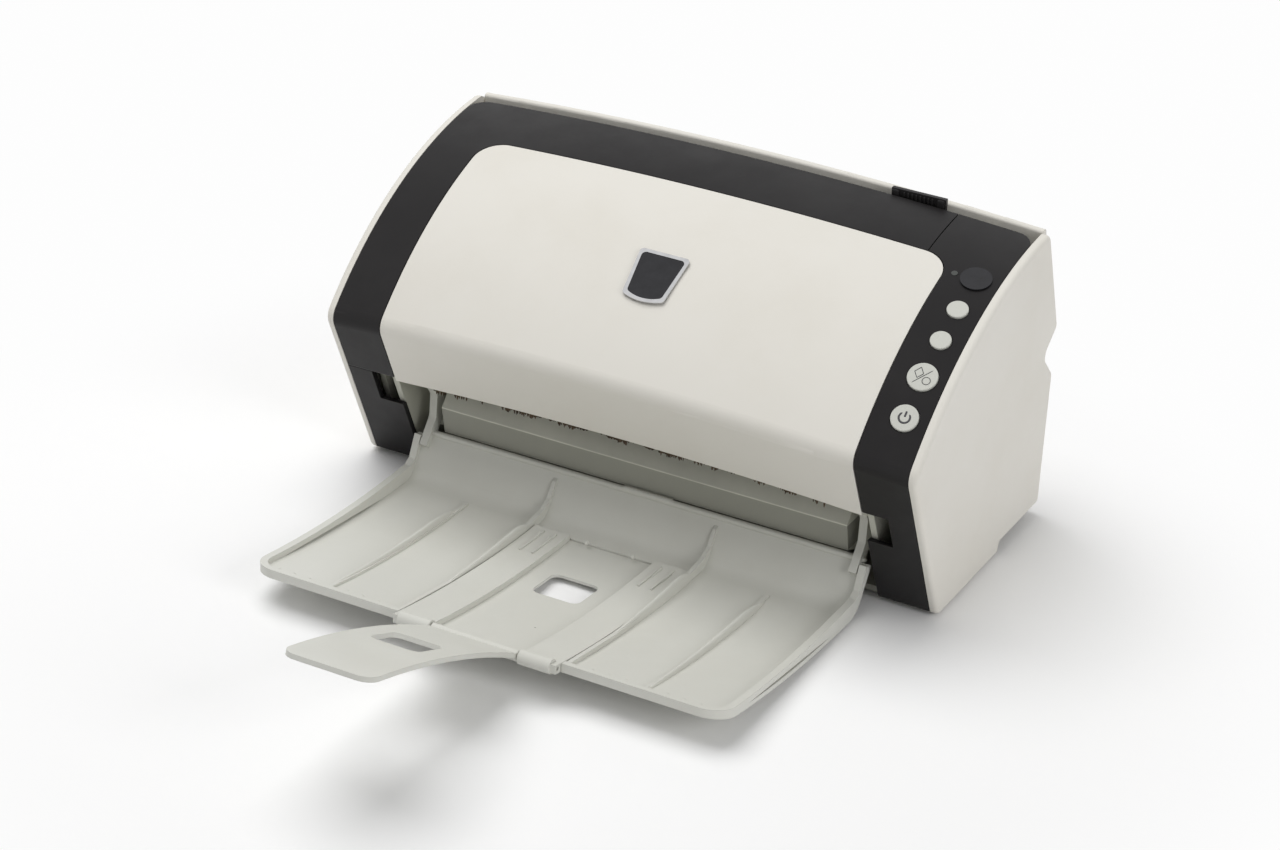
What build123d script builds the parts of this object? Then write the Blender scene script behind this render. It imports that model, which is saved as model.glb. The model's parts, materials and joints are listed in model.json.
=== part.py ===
from build123d import *
from math import asin, cos, degrees, hypot, radians, sin, sqrt
import os

# Desktop duplex document scanner with a hinged front cover and a folding output tray.
# Millimetres. X runs to the right as seen from the front, Y to the back, Z up.
# The frame's origin is under the middle of the bounding box, on the table.
# Side profiles are drawn in the body's own y, which is 0 over the middle of the base.

# Body
BODY_WIDTH = 301.0
HALF_WIDTH = BODY_WIDTH / 2
SIDE_THICKNESS = 4.0
SKIN = 2.6
SEAM = 0.5
FIT_GAP = 0.3
RUNNING_GAP = 0.05
BODY_REAR = 75.8
TABLE_GAP = 1.2

# Front face: an arc above the bend, a straight run below it, both crowned across the width
FACE_RADIUS = 191.3
FACE_CENTRE = (62.0, -33.0)
FACE_TOP_ANGLE = 85.5
FACE_BEND_ANGLE = 41.5
BEND_RADIUS = 8.0
FACE_FOOT = (-42.3, 7.1)
CROWN_SAG = 6.94793
CROWN_TILT = 69.0

# Pale cover panel and the dark trim round it
PANEL_HALF_WIDTH = HALF_WIDTH - 30.2
PANEL_TOP_ANGLE = 75.5
PANEL_CORNER = 13.0
TRIM_CORNER = 9.0
LIP_HEIGHT = 60.0
TRIM_SPLIT_X = HALF_WIDTH - 42.5
HINGE_SEAM_RADIUS = 15.3
FRAME_SWING_RADIUS = 106.5
TRIM_FOOT_HEIGHT = 3.0
POCKET_WIDTH = 13.0
POCKET_LOW = 40.0
POCKET_HIGH = 58.0

# Rear
TOP_RIM = (54.0, 158.2)
TOP_RIM_DEPTH = 3.5
TOP_REAR = (73.4, 106.0)
TOP_INNER_DROP = 12.0
TOP_LEG = 2.4
TOP_REAR_RADIUS = 3.2
NOTCH_TOP_RADIUS = 3.0
NOTCH_RADIUS = 4.0
BELT_RADIUS = 5.0
NOTCH = (63.0, 87.0)
NOTCH_TOP = 97.0
REAR_BELT = 74.0
REAR_FOOT = (73.5, 6.0)
BASE_STEP_Y = 26.0
REAR_SKIN = 2.5

# Slots in the rear skin that take the arms of a paper chute
CHUTE_SLOT = (16.0, 6.0)
CHUTE_SLOT_X = 96.0
CHUTE_SLOT_HEIGHT = 138.0

# Paper path, a plane that falls from the top slot to the front
PATH_MIDDLE = (4.0, 97.0)
PATH_ANGLE = 46.5
PATH_GAP = 0.6
GUIDE_THICKNESS = 2.4
GUIDE_TOP = 64.0
GUIDE_LOW = -62.0

# Base walls
INNER_WALL_X = HALF_WIDTH - 29.0
WALL_THICKNESS = 3.0
HINGE_WALL_X = HALF_WIDTH - 17.0
OUTER_WALL_X = HALF_WIDTH - 9.5
FLOOR_THICKNESS = 3.0
OUTER_WALL_INSET = 9.0
WALL_CLEARANCE = 0.4

# Hinge line shared by the cover and the tray
HINGE = (-50.0, 55.0)
HINGE_PIN_RADIUS = 3.0
HINGE_PIN_IN = HALF_WIDTH - 41.5
COVER_EAR_X = HALF_WIDTH - 35.0
COVER_EAR_WIDTH = 3.5
COVER_EAR_RADIUS = 6.5
COVER_TOP = 60.0
COVER_WIDE_TOP = 44.0
COVER_NARROW = HALF_WIDTH - 42.7
COVER_LOW = -58.0
ARM_X = HALF_WIDTH - 40.0
ARM_WIDTH = 4.0
ARM_RING_RADIUS = 5.5
ARM_DEPTH = 6.0
ARM_BEND = 7.0
ARM_NECK = ((-40.5, 43.0), (-41.5, 29.0), (-51.0, 17.0))

# Rollers and drive
ROLLER_RADIUS = 8.0
ROLLER_LENGTH = 22.0
ROLLER_X = (-52.0, 52.0)
IDLER_RADIUS = 6.0
IDLER_LENGTH = 16.0
SHAFT_RADIUS = 3.0
IDLER_SHAFT_RADIUS = 2.0
IDLER_HEIGHT = 6.3
BRACKET_X = 65.0
FEED_S = 34.0
EJECT_S = -40.0
PICK_S = 54.0
PICK_LENGTH = 30.0
PAD_HALF_WIDTH = 18.0
PAD_LENGTH = 18.0
PULLEY_X = HALF_WIDTH - 24.5
PULLEY_WIDTH = 5.0
PULLEY_RADIUS = 7.0
MOTOR_PULLEY_RADIUS = 4.0
BELT_THICKNESS = 1.0
MOTOR_AT = (30.0, 38.0)
MOTOR_SIZE = 35.0
MOTOR_LENGTH = 28.0
MOTOR_SHAFT_RADIUS = 1.5
BELT_CLEARANCE = 0.3

# Exit guide
EXIT_HALF_WIDTH = HALF_WIDTH - 44.5
EXIT_TOP = (-37.0, 49.2)
EXIT_NOSE = (-47.0, 38.0)
EXIT_CHIN = (-44.0, 23.5)
EXIT_FOOT = (-34.0, 20.0)
EXIT_FLANGE = 3.0
EXIT_FLANGE_Y = -31.5
PILE_THICKNESS = 1.2

# Image units
UNIT_HALF_WIDTH = HALF_WIDTH - 38.5
UNIT_LENGTH = 40.0
UNIT_DEPTH = 26.0
LOWER_UNIT_S = -4.0
UPPER_UNIT_S = 4.0
GLASS_HALF_WIDTH = HALF_WIDTH - 42.5
GLASS_LENGTH = 30.0
GLASS_THICKNESS = 2.0
GLASS_SINK = 0.3

# Latch lever
LATCH_AT = (57.0, 8.5)
LATCH_SHAFT_RADIUS = 2.5
LATCH_SHAFT_HALF = HALF_WIDTH - 42.9
LEVER_X = 74.0
LEVER_WIDTH = 27.0
HOOK_X = HALF_WIDTH - 44.1
HOOK_WIDTH = 2.4
HOOK_OUTLINE = ((1.0, 8.5), (-0.4, -4.2), (-3.4, -4.2), (-4.0, 8.5))
CATCH_SINK = 2.0
CATCH_AHEAD = 1.8
LATCH_BRACKET_X = HALF_WIDTH - 47.3
LEVER_OUTLINE = (
    (36.0, 148.0),
    (44.0, 150.3),
    (49.5, 151.4),
    (49.5, 158.8),
    (51.7, 158.8),
    (51.7, 150.4),
    (49.6, 148.4),
    (40.5, 141.5),
)
CATCH_RADIUS = 1.5

# Operator panel
BUTTON_X = HALF_WIDTH - 15.2
BUTTON_TRAVEL = 1.0
BUTTON_GAP = 0.3
BUTTON_PROUD = 0.9
BUTTON_COLLAR = 1.1
BUTTON_SEAT = 0.25
COLLAR_THICKNESS = 1.0
BUTTON_STEM_RADIUS = 1.6
POWER_BUTTON = (49.2, 6.3)
SCAN_BUTTON = (55.4, 6.9)
SEND_BUTTON = (61.4, 4.8)
FUNCTION_BUTTON = (66.9, 4.9)
WINDOW = (73.0, 7.2)
WINDOW_SEAT = 0.05
WINDOW_THICKNESS = 0.7
LED_X = HALF_WIDTH - 25.6
LED_ANGLE = 72.9
LED_RADIUS = 1.5
PRESS_GAP = 0.05
BOARD_ANGLE = 58.0
BOARD_DEPTH = 12.5
BOARD_LENGTH = 74.0
BOARD_WIDTH = 10.0
BOARD_THICKNESS = 1.6

# Badge
BADGE_ANGLE = 58.4
BADGE_TOP_WIDTH = 25.5
BADGE_LOW_WIDTH = 21.0
BADGE_HEIGHT = 25.0
BADGE_RIM = 1.8
BADGE_PROUD = 1.0

# Output tray
TRAY_HALF_WIDTH = HALF_WIDTH - 32.0
TRAY_FRONT = -188.5
TRAY_FRONT_HEIGHT = 17.2
KNEE = (-60.0, 3.2)
KNEE_RADIUS = 10.0
TRAY_BACK = (-47.5, 21.7)
FLOOR_RADIUS = 630.0
TRAY_THICKNESS = 2.2
TRAY_CORNER = 12.0
RIM_THICKNESS = 3.5
RIM_TOP = ((-60.0, 9.8), (-127.0, 11.4), (TRAY_FRONT - 1.5, 19.6))
RIM_BACK = (-51.0, 22.5)
RIB_X = 79.0
RIB_THICKNESS = 1.6
RIB_RISE = 1.2
CREST_X = 42.2
CREST_THICKNESS = 2.0
CREST_TOP = (
    (-50.8, 18.6),
    (-56.0, 12.0),
    (-62.0, 8.8),
    (-73.0, 7.5),
    (-106.0, 7.6),
    (-145.0, 11.6),
    (TRAY_FRONT + 2.5, 18.4),
)
LEAF_HALF_WIDTH = 40.6
LEAF_RISE = 2.0
LEAF_BACK = -70.0
LEAF_FRONT = TRAY_FRONT - 4.5
RECESS_HALF_WIDTH = 22.3
RECESS_DEPTH = 2.8
LEAF_WINDOW_Y = -113.0
LEAF_WINDOW = (24.0, 22.0)
LEAF_RIB_X = (27.5, 34.0)
KNUCKLE_RADIUS = 3.4
KNUCKLE_OUT = 38.0

# Fold-out tongue at the tray's front
TONGUE_HALF_WIDTH = 21.6
TONGUE_HINGE = (TRAY_FRONT - 2.5, 18.0)
TONGUE_THICKNESS = 2.2
TONGUE_CHORD = 126.0
TONGUE_RISE = 22.9
TONGUE_RADIUS = 490.0
TONGUE_BARREL_RADIUS = 2.6
TONGUE_PIN_RADIUS = 1.0
TONGUE_CORNER = 7.0
TONGUE_WINDOW = (24.0, 24.0)
TONGUE_WINDOW_AT = 62.0

# Feet, board and sockets
FOOT_X = HALF_WIDTH - 28.5
FRONT_FOOT_Y = -22.0
REAR_FOOT_Y = 60.0
FOOT_RADIUS = 8.0
MAIN_BOARD = (150.0, 80.0)
MAIN_BOARD_AT = (-15.0, 20.0)
MAIN_BOARD_HEIGHT = 13.0
POST_X = 69.0
POST_Y = 34.0
SOCKET_DEPTH = 15.0
DATA_SOCKET_X = -15.0
DATA_SOCKET = (12.0, 11.0)
DATA_MOUTH = (8.6, 8.0)
DATA_TONGUE = (5.6, 1.8)
DATA_TONGUE_RISE = 2.2
POWER_SOCKET_X = 25.0
POWER_SOCKET = (14.0, 12.0)
POWER_BORE_RADIUS = 3.2
POWER_PIN_RADIUS = 1.0
VENT_X = -95.0
VENT_HEIGHT = 40.0
VENT_PITCH = 6.0
VENT_COUNT = 9
VENT_LENGTH = 34.0
VENT_WIDTH = 2.4
LOCK_X = 110.0
LOCK_HEIGHT = 22.0
LOCK_SLOT = (7.0, 3.0)

# Worked out from the sizes above
CROWN_RADIUS = BODY_WIDTH**2 / (8 * CROWN_SAG)
INNER_WALL_INSET = SKIN + WALL_CLEARANCE
TRIM_HALF_WIDTH = BODY_WIDTH / 2 - SIDE_THICKNESS - FIT_GAP
SIDE_X = BODY_WIDTH / 2 - SIDE_THICKNESS
TONGUE_TIP_Y = TONGUE_HINGE[0] - TONGUE_CHORD * cos(radians(TONGUE_RISE))
SHIFT = -(BODY_REAR + TONGUE_TIP_Y) / 2
CROWN_NORMAL = (-cos(radians(CROWN_TILT)), sin(radians(CROWN_TILT)))
CROWN_SWEEP = degrees(asin(BODY_WIDTH / 2 / CROWN_RADIUS)) + 0.4

os.makedirs("parts", exist_ok=True)


def side_plane(x):
    """Plane across the body at x: its first coordinate is the body's y, its second is z."""
    return Plane(origin=(x, SHIFT, 0), x_dir=(0, 1, 0), z_dir=(1, 0, 0))


def plan_plane(z):
    return Plane(origin=(0, SHIFT, z), x_dir=(1, 0, 0), z_dir=(0, 0, 1))


def crown_drop(x):
    """How far the crowned face falls back at x, as a (y, z) step."""
    sag = x * x / (2 * CROWN_RADIUS)
    return (-sag * CROWN_NORMAL[0], -sag * CROWN_NORMAL[1])


def face_point(angle, inset=0.0, x=0.0):
    """Point of the face's arc at an angle above the horizontal, inset along its normal."""
    drop = crown_drop(x)
    radius = FACE_RADIUS - inset
    return (
        FACE_CENTRE[0] + drop[0] - radius * cos(radians(angle)),
        FACE_CENTRE[1] + drop[1] + radius * sin(radians(angle)),
    )


def foot_point(x=0.0):
    drop = crown_drop(x)
    return (FACE_FOOT[0] + drop[0], FACE_FOOT[1] + drop[1])


def lower_face_y(z, x=0.0):
    """The body's y on the face below the bend, at height z."""
    bend = face_point(FACE_BEND_ANGLE, 0, x)
    foot = foot_point(x)
    share = (z - foot[1]) / (bend[1] - foot[1])
    return foot[0] + share * (bend[0] - foot[0])


def path_point(s, h):
    """Body (y, z) of a point s up the paper path and h out of it, towards the cover."""
    c = cos(radians(PATH_ANGLE))
    n = sin(radians(PATH_ANGLE))
    return (PATH_MIDDLE[0] + s * c - h * n, PATH_MIDDLE[1] + s * n + h * c)


PATH = Plane(
    origin=(0, PATH_MIDDLE[0] + SHIFT, PATH_MIDDLE[1]),
    x_dir=(1, 0, 0),
    z_dir=(0, -sin(radians(PATH_ANGLE)), cos(radians(PATH_ANGLE))),
)

CROWN_FOOT = face_point(65.0)
CROWN_AXIS = Axis(
    (
        0,
        CROWN_FOOT[0] - CROWN_RADIUS * CROWN_NORMAL[0] + SHIFT,
        CROWN_FOOT[1] - CROWN_RADIUS * CROWN_NORMAL[1],
    ),
    (0, CROWN_NORMAL[1], -CROWN_NORMAL[0]),
)

VIEW_ANGLE = 70.0
VIEW_POINT = face_point(VIEW_ANGLE)


def view_plane(height=0.0):
    """Plane that looks at the upper face: first coordinate x, second up the face."""
    normal = (0, -cos(radians(VIEW_ANGLE)), sin(radians(VIEW_ANGLE)))
    plane = Plane(origin=(0, VIEW_POINT[0] + SHIFT, VIEW_POINT[1]), x_dir=(1, 0, 0), z_dir=normal)
    return plane.offset(height)


def up_face(angle):
    """Second coordinate on the view plane of the face's point at an angle."""
    return FACE_RADIUS * sin(radians(angle - VIEW_ANGLE))


def normal_plane(angle, x=0.0, inset=0.0):
    """Plane square to the crowned face at an angle and x, its normal out of the face."""
    y, z = face_point(angle, inset)
    ny, nz = CROWN_NORMAL
    reach = CROWN_RADIUS + (y - CROWN_FOOT[0]) * ny + (z - CROWN_FOOT[1]) * nz
    turn = asin(x / reach)
    sink = reach * (1 - cos(turn))
    out = (-cos(radians(angle)), sin(radians(angle)))
    rise = out[0] * ny + out[1] * nz
    along = out[0] * nz - out[1] * ny
    normal = (
        rise * sin(turn),
        rise * cos(turn) * ny + along * nz,
        rise * cos(turn) * nz - along * ny,
    )
    return Plane(
        origin=(x, y + SHIFT - sink * ny, z - sink * nz),
        x_dir=(cos(turn), -sin(turn) * ny, -sin(turn) * nz),
        z_dir=normal,
    )


def skin_outline(top_angle, low_height, outer=0.0, thickness=SKIN):
    """Closed strip along the middle profile, from an angle on the arc to a height below the bend."""
    bend = face_point(FACE_BEND_ANGLE, outer)
    run = (FACE_FOOT[0] - bend[0], FACE_FOOT[1] - bend[1])
    length = hypot(run[0], run[1])
    share = (low_height - bend[1]) / run[1]
    low = (bend[0] + share * run[0], low_height)
    inward = (-run[1] / length, run[0] / length)
    inner_low = (low[0] + inward[0] * thickness, low[1] + inward[1] * thickness)
    up = (-run[0] / length, -run[1] / length)
    away = (inner_low[0] - FACE_CENTRE[0], inner_low[1] - FACE_CENTRE[1])
    along = away[0] * up[0] + away[1] * up[1]
    reach = sqrt(along**2 - away[0] ** 2 - away[1] ** 2 + (FACE_RADIUS - outer - thickness) ** 2)
    inner_bend = (inner_low[0] + up[0] * (reach - along), inner_low[1] + up[1] * (reach - along))
    top = face_point(top_angle, outer)
    inner_top = face_point(top_angle, outer + thickness)
    crest_angle = min(CROWN_TILT, top_angle - 2)
    crest = face_point(crest_angle, outer)
    inner_crest = face_point(crest_angle, outer + thickness)
    low_middle = (crest_angle + FACE_BEND_ANGLE) / 2
    top_middle = (crest_angle + top_angle) / 2
    with BuildLine() as outline:
        ThreePointArc(top, face_point(top_middle, outer), crest)
        ThreePointArc(crest, face_point(low_middle, outer), bend)
        Polyline(bend, low, inner_low, inner_bend)
        ThreePointArc(inner_bend, face_point(low_middle, outer + thickness), inner_crest)
        ThreePointArc(inner_crest, face_point(top_middle, outer + thickness), inner_top)
        Line(inner_top, top)
    make_face(outline.edges())
    for corner, radius in ((bend, BEND_RADIUS), (inner_bend, BEND_RADIUS - thickness)):
        fillet(vertices().sort_by_distance(corner)[0], radius)


def view_window(half_width, top, corner):
    """Outline seen square to the upper face, with round top corners, to cut or keep right through."""
    with BuildSketch(view_plane(-150)) as window:
        with Locations((0, top - 150)):
            Rectangle(2 * half_width, 300)
        fillet(vertices().group_by(Axis.Y)[-1], corner)
    return window.sketch


def round_bar(x, s, h, radius, length):
    """Cylinder along X, its left end at x, its axis at (s, h) of the paper path."""
    with BuildSketch(side_plane(x)) as disc:
        with Locations(path_point(s, h)):
            Circle(radius)
    extrude(disc.sketch, amount=length)


def path_box(x, width, s, length, low, high, mode=Mode.ADD):
    """Box square to the paper path: centred on x and s, from low to high out of the path."""
    with BuildSketch(PATH.offset(low)) as outline:
        with Locations((x, s)):
            Rectangle(width, length)
    extrude(outline.sketch, amount=high - low, mode=mode)


def finish(builder, name):
    builder.part.label = name
    export_step(builder.part, "parts/" + name + ".step")


# Pale cover panel, from under the dark band over the bend to the exit lip
with BuildPart() as cover_panel:
    with BuildSketch(side_plane(0)):
        skin_outline(PANEL_TOP_ANGLE + 4, LIP_HEIGHT)
    revolve(axis=CROWN_AXIS, revolution_arc=CROWN_SWEEP)
    mirror(about=Plane.YZ)
    window = view_window(PANEL_HALF_WIDTH, up_face(PANEL_TOP_ANGLE), PANEL_CORNER)
    extrude(window, amount=250, mode=Mode.INTERSECT)
finish(cover_panel, "cover_panel")

# Dark trim that opens with the cover: the top band and the upper left strip
with BuildPart() as cover_trim:
    with BuildSketch(side_plane(0)):
        skin_outline(FACE_TOP_ANGLE + 2, HINGE[1] - 3)
    revolve(axis=CROWN_AXIS, revolution_arc=CROWN_SWEEP)
    mirror(about=Plane.YZ)
    window = view_window(TRIM_HALF_WIDTH, up_face(FACE_TOP_ANGLE), TRIM_CORNER)
    extrude(window, amount=250, mode=Mode.INTERSECT)
    window = view_window(PANEL_HALF_WIDTH + SEAM, up_face(PANEL_TOP_ANGLE) + SEAM, PANEL_CORNER + SEAM)
    extrude(window, amount=250, mode=Mode.SUBTRACT)
    with BuildSketch(side_plane(TRIM_SPLIT_X)):
        Rectangle(400, 500)
    extrude(amount=60, mode=Mode.SUBTRACT)
    with BuildSketch(side_plane(-TRIM_HALF_WIDTH - 5)):
        with Locations(HINGE):
            Rectangle(400, 400, align=(Align.CENTER, Align.MAX))
            Circle(HINGE_SEAM_RADIUS + FIT_GAP)
    extrude(amount=40, mode=Mode.SUBTRACT)
finish(cover_trim, "cover_trim")

# Operator panel: one fixed piece on the right, from the top rim down to the foot
BUTTONS = {
    "power_button": POWER_BUTTON,
    "scan_button": SCAN_BUTTON,
    "send_button": SEND_BUTTON,
    "function_button": FUNCTION_BUTTON,
}
POST_ANGLES = (52.25, 64.2)
POST_RADIUS = 1.2
BOARD_PLANE = normal_plane(BOARD_ANGLE, BUTTON_X, BOARD_DEPTH)


def drop_to_board(plane):
    """Distance from a plane's origin straight down to the button board's top."""
    return (plane.origin - BOARD_PLANE.origin).dot(BOARD_PLANE.z_dir)


with BuildPart() as operator_panel:
    with BuildSketch(side_plane(0)):
        skin_outline(FACE_TOP_ANGLE + 2, 1.0)
    revolve(axis=CROWN_AXIS, revolution_arc=CROWN_SWEEP)
    window = view_window(TRIM_HALF_WIDTH, up_face(FACE_TOP_ANGLE), TRIM_CORNER)
    extrude(window, amount=300, mode=Mode.INTERSECT)
    window = view_window(PANEL_HALF_WIDTH + SEAM, up_face(PANEL_TOP_ANGLE) + SEAM, PANEL_CORNER + SEAM)
    extrude(window, amount=300, mode=Mode.SUBTRACT)
    with BuildSketch(side_plane(TRIM_SPLIT_X + SEAM)):
        Rectangle(500, 500)
    extrude(amount=-150, mode=Mode.SUBTRACT)
    with BuildSketch(plan_plane(TRIM_FOOT_HEIGHT)):
        Rectangle(500, 500)
    extrude(amount=-60, mode=Mode.SUBTRACT)
    with BuildSketch(side_plane(PANEL_HALF_WIDTH)):
        with Locations((lower_face_y(POCKET_LOW, BUTTON_X), (POCKET_LOW + POCKET_HIGH) / 2)):
            Rectangle(16, POCKET_HIGH - POCKET_LOW)
    extrude(amount=POCKET_WIDTH, mode=Mode.SUBTRACT)
    for angle in POST_ANGLES:
        underside = normal_plane(angle, BUTTON_X, SKIN)
        foot = underside.origin - BOARD_PLANE.z_dir * drop_to_board(underside)
        with BuildSketch(Plane(origin=foot, x_dir=BOARD_PLANE.x_dir, z_dir=BOARD_PLANE.z_dir)):
            Circle(POST_RADIUS)
        extrude(amount=drop_to_board(underside) + SKIN / 2)
    holes = [(angle, BUTTON_X, radius + BUTTON_GAP) for angle, radius in BUTTONS.values()]
    holes.append((LED_ANGLE, LED_X, LED_RADIUS + PRESS_GAP))
    for angle, x, radius in holes:
        with BuildSketch(normal_plane(angle, x, SKIN + COLLAR_THICKNESS)):
            Circle(radius)
        extrude(amount=2 * SKIN, mode=Mode.SUBTRACT)
        # a hole can leave its slug behind, so only the panel itself is kept
        add(operator_panel.solids().sort_by(SortBy.VOLUME)[-1], mode=Mode.REPLACE)
finish(operator_panel, "operator_panel")

# Buttons: a low domed cap, a collar under the skin that keeps it in, and a stem
for name, (angle, radius) in BUTTONS.items():
    with BuildPart() as button:
        with BuildSketch(normal_plane(angle, BUTTON_X, SKIN + BUTTON_SEAT)):
            Circle(radius)
        extrude(amount=SKIN + BUTTON_SEAT + BUTTON_PROUD)
        cap_normal = normal_plane(angle, BUTTON_X).z_dir
        rim = max(button.edges(), key=lambda e: e.center().dot(cap_normal))
        fillet(rim, 0.5)
        collar = normal_plane(angle, BUTTON_X, SKIN + BUTTON_SEAT)
        with BuildSketch(collar):
            Circle(radius + BUTTON_COLLAR)
        extrude(amount=-COLLAR_THICKNESS)
        free = drop_to_board(collar) / cap_normal.dot(BOARD_PLANE.z_dir)
        with BuildSketch(collar):
            Circle(BUTTON_STEM_RADIUS)
        extrude(amount=-(free - BUTTON_TRAVEL - FIT_GAP))
    finish(button, name)

# Round dark window of the counter, a disc laid on the panel
with BuildPart() as panel_window:
    with BuildSketch(normal_plane(WINDOW[0], BUTTON_X, -WINDOW_SEAT)):
        Circle(WINDOW[1])
    extrude(amount=WINDOW_THICKNESS)
finish(panel_window, "panel_window")

with BuildPart() as led_lens:
    with BuildSketch(normal_plane(LED_ANGLE, LED_X, SKIN)):
        Circle(LED_RADIUS)
    extrude(amount=SKIN + 0.2)
finish(led_lens, "led_lens")

with BuildPart() as button_board:
    with BuildSketch(BOARD_PLANE):
        Rectangle(BOARD_WIDTH, BOARD_LENGTH)
    extrude(amount=-BOARD_THICKNESS)
finish(button_board, "button_board")

# Fixed dark trim at the lower left, below the part that opens
with BuildPart() as lower_trim:
    with BuildSketch(side_plane(0)):
        skin_outline(FACE_BEND_ANGLE + 10, 1.0)
    revolve(axis=CROWN_AXIS, revolution_arc=-CROWN_SWEEP)
    with BuildSketch(side_plane(-TRIM_HALF_WIDTH)):
        Rectangle(500, 500)
    extrude(amount=TRIM_HALF_WIDTH - PANEL_HALF_WIDTH - SEAM, mode=Mode.INTERSECT)
    with BuildSketch(side_plane(-TRIM_HALF_WIDTH - 5)):
        with Locations((HINGE[0], TRIM_FOOT_HEIGHT)):
            Rectangle(200, HINGE[1] - TRIM_FOOT_HEIGHT, align=(Align.CENTER, Align.MIN))
        with Locations(HINGE):
            Circle(HINGE_SEAM_RADIUS)
    extrude(amount=40, mode=Mode.INTERSECT)
    with BuildSketch(side_plane(-PANEL_HALF_WIDTH)):
        with Locations((lower_face_y(POCKET_LOW, BUTTON_X), (POCKET_LOW + POCKET_HIGH) / 2)):
            Rectangle(16, POCKET_HIGH - POCKET_LOW)
    extrude(amount=-POCKET_WIDTH, mode=Mode.SUBTRACT)
finish(lower_trim, "lower_trim_left")

# Badge: a bright rim round a dark plate, on the cover panel
def badge_outline(inset, plane):
    """Trapezoid with a bowed lower edge, narrower below."""
    top = BADGE_TOP_WIDTH / 2 - inset
    low = BADGE_LOW_WIDTH / 2 - inset
    half = BADGE_HEIGHT / 2 - inset
    with BuildSketch(plane) as badge:
        with BuildLine() as outline:
            Polyline((-low, -half), (-top, half), (top, half), (low, -half))
            ThreePointArc((low, -half), (0, -half - 2.2), (-low, -half))
        make_face(outline.edges())
        fillet(vertices(), 2.0)
    return badge.sketch


BADGE_PLANE = normal_plane(BADGE_ANGLE)

with BuildPart() as badge_rim:
    extrude(badge_outline(0, BADGE_PLANE.offset(FIT_GAP)), amount=BADGE_PROUD)
    extrude(badge_outline(BADGE_RIM, BADGE_PLANE), amount=4, mode=Mode.SUBTRACT)
    outer_face = max(badge_rim.faces(), key=lambda f: f.center().dot(BADGE_PLANE.z_dir))
    fillet(outer_face.edges(), 0.3)
finish(badge_rim, "badge_rim")

with BuildPart() as badge_plate:
    extrude(badge_outline(BADGE_RIM + 0.05, BADGE_PLANE.offset(FIT_GAP)), amount=0.6)
finish(badge_plate, "badge_plate")


# Side covers: flat pale plates that close the ends and frame the dark trim
def side_outline(x):
    """Side profile of the body at x, with round corners at the bend, the top and the notch."""
    bend = face_point(FACE_BEND_ANGLE, 0, x)
    top = face_point(FACE_TOP_ANGLE, 0, x)
    drop = crown_drop(x)
    rear = (TOP_REAR[0] + drop[0], TOP_REAR[1] + drop[1])
    rim = (TOP_RIM[0] + drop[0], TOP_RIM[1] + drop[1])
    foot_y = lower_face_y(TABLE_GAP, x)
    with BuildLine() as outline:
        ThreePointArc(bend, face_point((FACE_BEND_ANGLE + FACE_TOP_ANGLE) / 2, 0, x), top)
        Polyline(
            top,
            rim,
            rear,
            (BODY_REAR, NOTCH_TOP),
            NOTCH,
            (BODY_REAR - 0.3, REAR_BELT),
            REAR_FOOT,
            (BASE_STEP_Y + 2, REAR_FOOT[1]),
            (BASE_STEP_Y, TABLE_GAP),
            (foot_y, TABLE_GAP),
            bend,
        )
    make_face(outline.edges())
    for corner, radius in (
        (bend, BEND_RADIUS),
        (rim, 5.0),
        (rear, TOP_REAR_RADIUS),
        ((BODY_REAR, NOTCH_TOP), NOTCH_TOP_RADIUS),
        (NOTCH, NOTCH_RADIUS),
        ((BODY_REAR - 0.3, REAR_BELT), BELT_RADIUS),
        (REAR_FOOT, 3.0),
        ((foot_y, TABLE_GAP), 5.0),
    ):
        fillet(vertices().sort_by_distance(corner)[0], radius)


for name, x, grow in (
    ("side_cover_right", SIDE_X, SIDE_THICKNESS),
    ("side_cover_left", -SIDE_X, -SIDE_THICKNESS),
):
    with BuildPart() as side_cover:
        with BuildSketch(side_plane(x)):
            side_outline(SIDE_X)
        extrude(amount=grow)
        outer_edges = side_cover.edges().filter_by(lambda e: abs(abs(e.center().X) - BODY_WIDTH / 2) < 0.01)
        fillet(outer_edges, 2.4)
    finish(side_cover, name)

# Rear skins: the slanted top rim with the slots that take a paper chute, and the lower back
with BuildPart() as top_cover:
    with BuildSketch(side_plane(0)):
        with BuildLine():
            edge = FilletPolyline(
                (TOP_RIM[0], TOP_RIM[1] - TOP_INNER_DROP),
                TOP_RIM,
                (TOP_RIM[0] + TOP_RIM_DEPTH, TOP_RIM[1]),
                TOP_REAR,
                (TOP_REAR[0] + 0.2, TOP_REAR[1] - TOP_LEG),
                radius=[1.5, 1.5, TOP_REAR_RADIUS],
            )
            offset(edge, amount=-REAR_SKIN, side=Side.RIGHT, kind=Kind.INTERSECTION)
        make_face()
    revolve(axis=CROWN_AXIS, revolution_arc=CROWN_SWEEP)
    mirror(about=Plane.YZ)
    with BuildSketch(side_plane(-TRIM_HALF_WIDTH)):
        Rectangle(500, 500)
    extrude(amount=2 * TRIM_HALF_WIDTH, mode=Mode.INTERSECT)
    with BuildSketch(Plane.XZ.offset(-TOP_REAR[0] - SHIFT - 10)):
        with Locations((-CHUTE_SLOT_X, CHUTE_SLOT_HEIGHT), (CHUTE_SLOT_X, CHUTE_SLOT_HEIGHT)):
            Rectangle(*CHUTE_SLOT)
    extrude(amount=TOP_REAR[0] - TOP_RIM[0] + 5, mode=Mode.SUBTRACT)
finish(top_cover, "top_cover")

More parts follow.
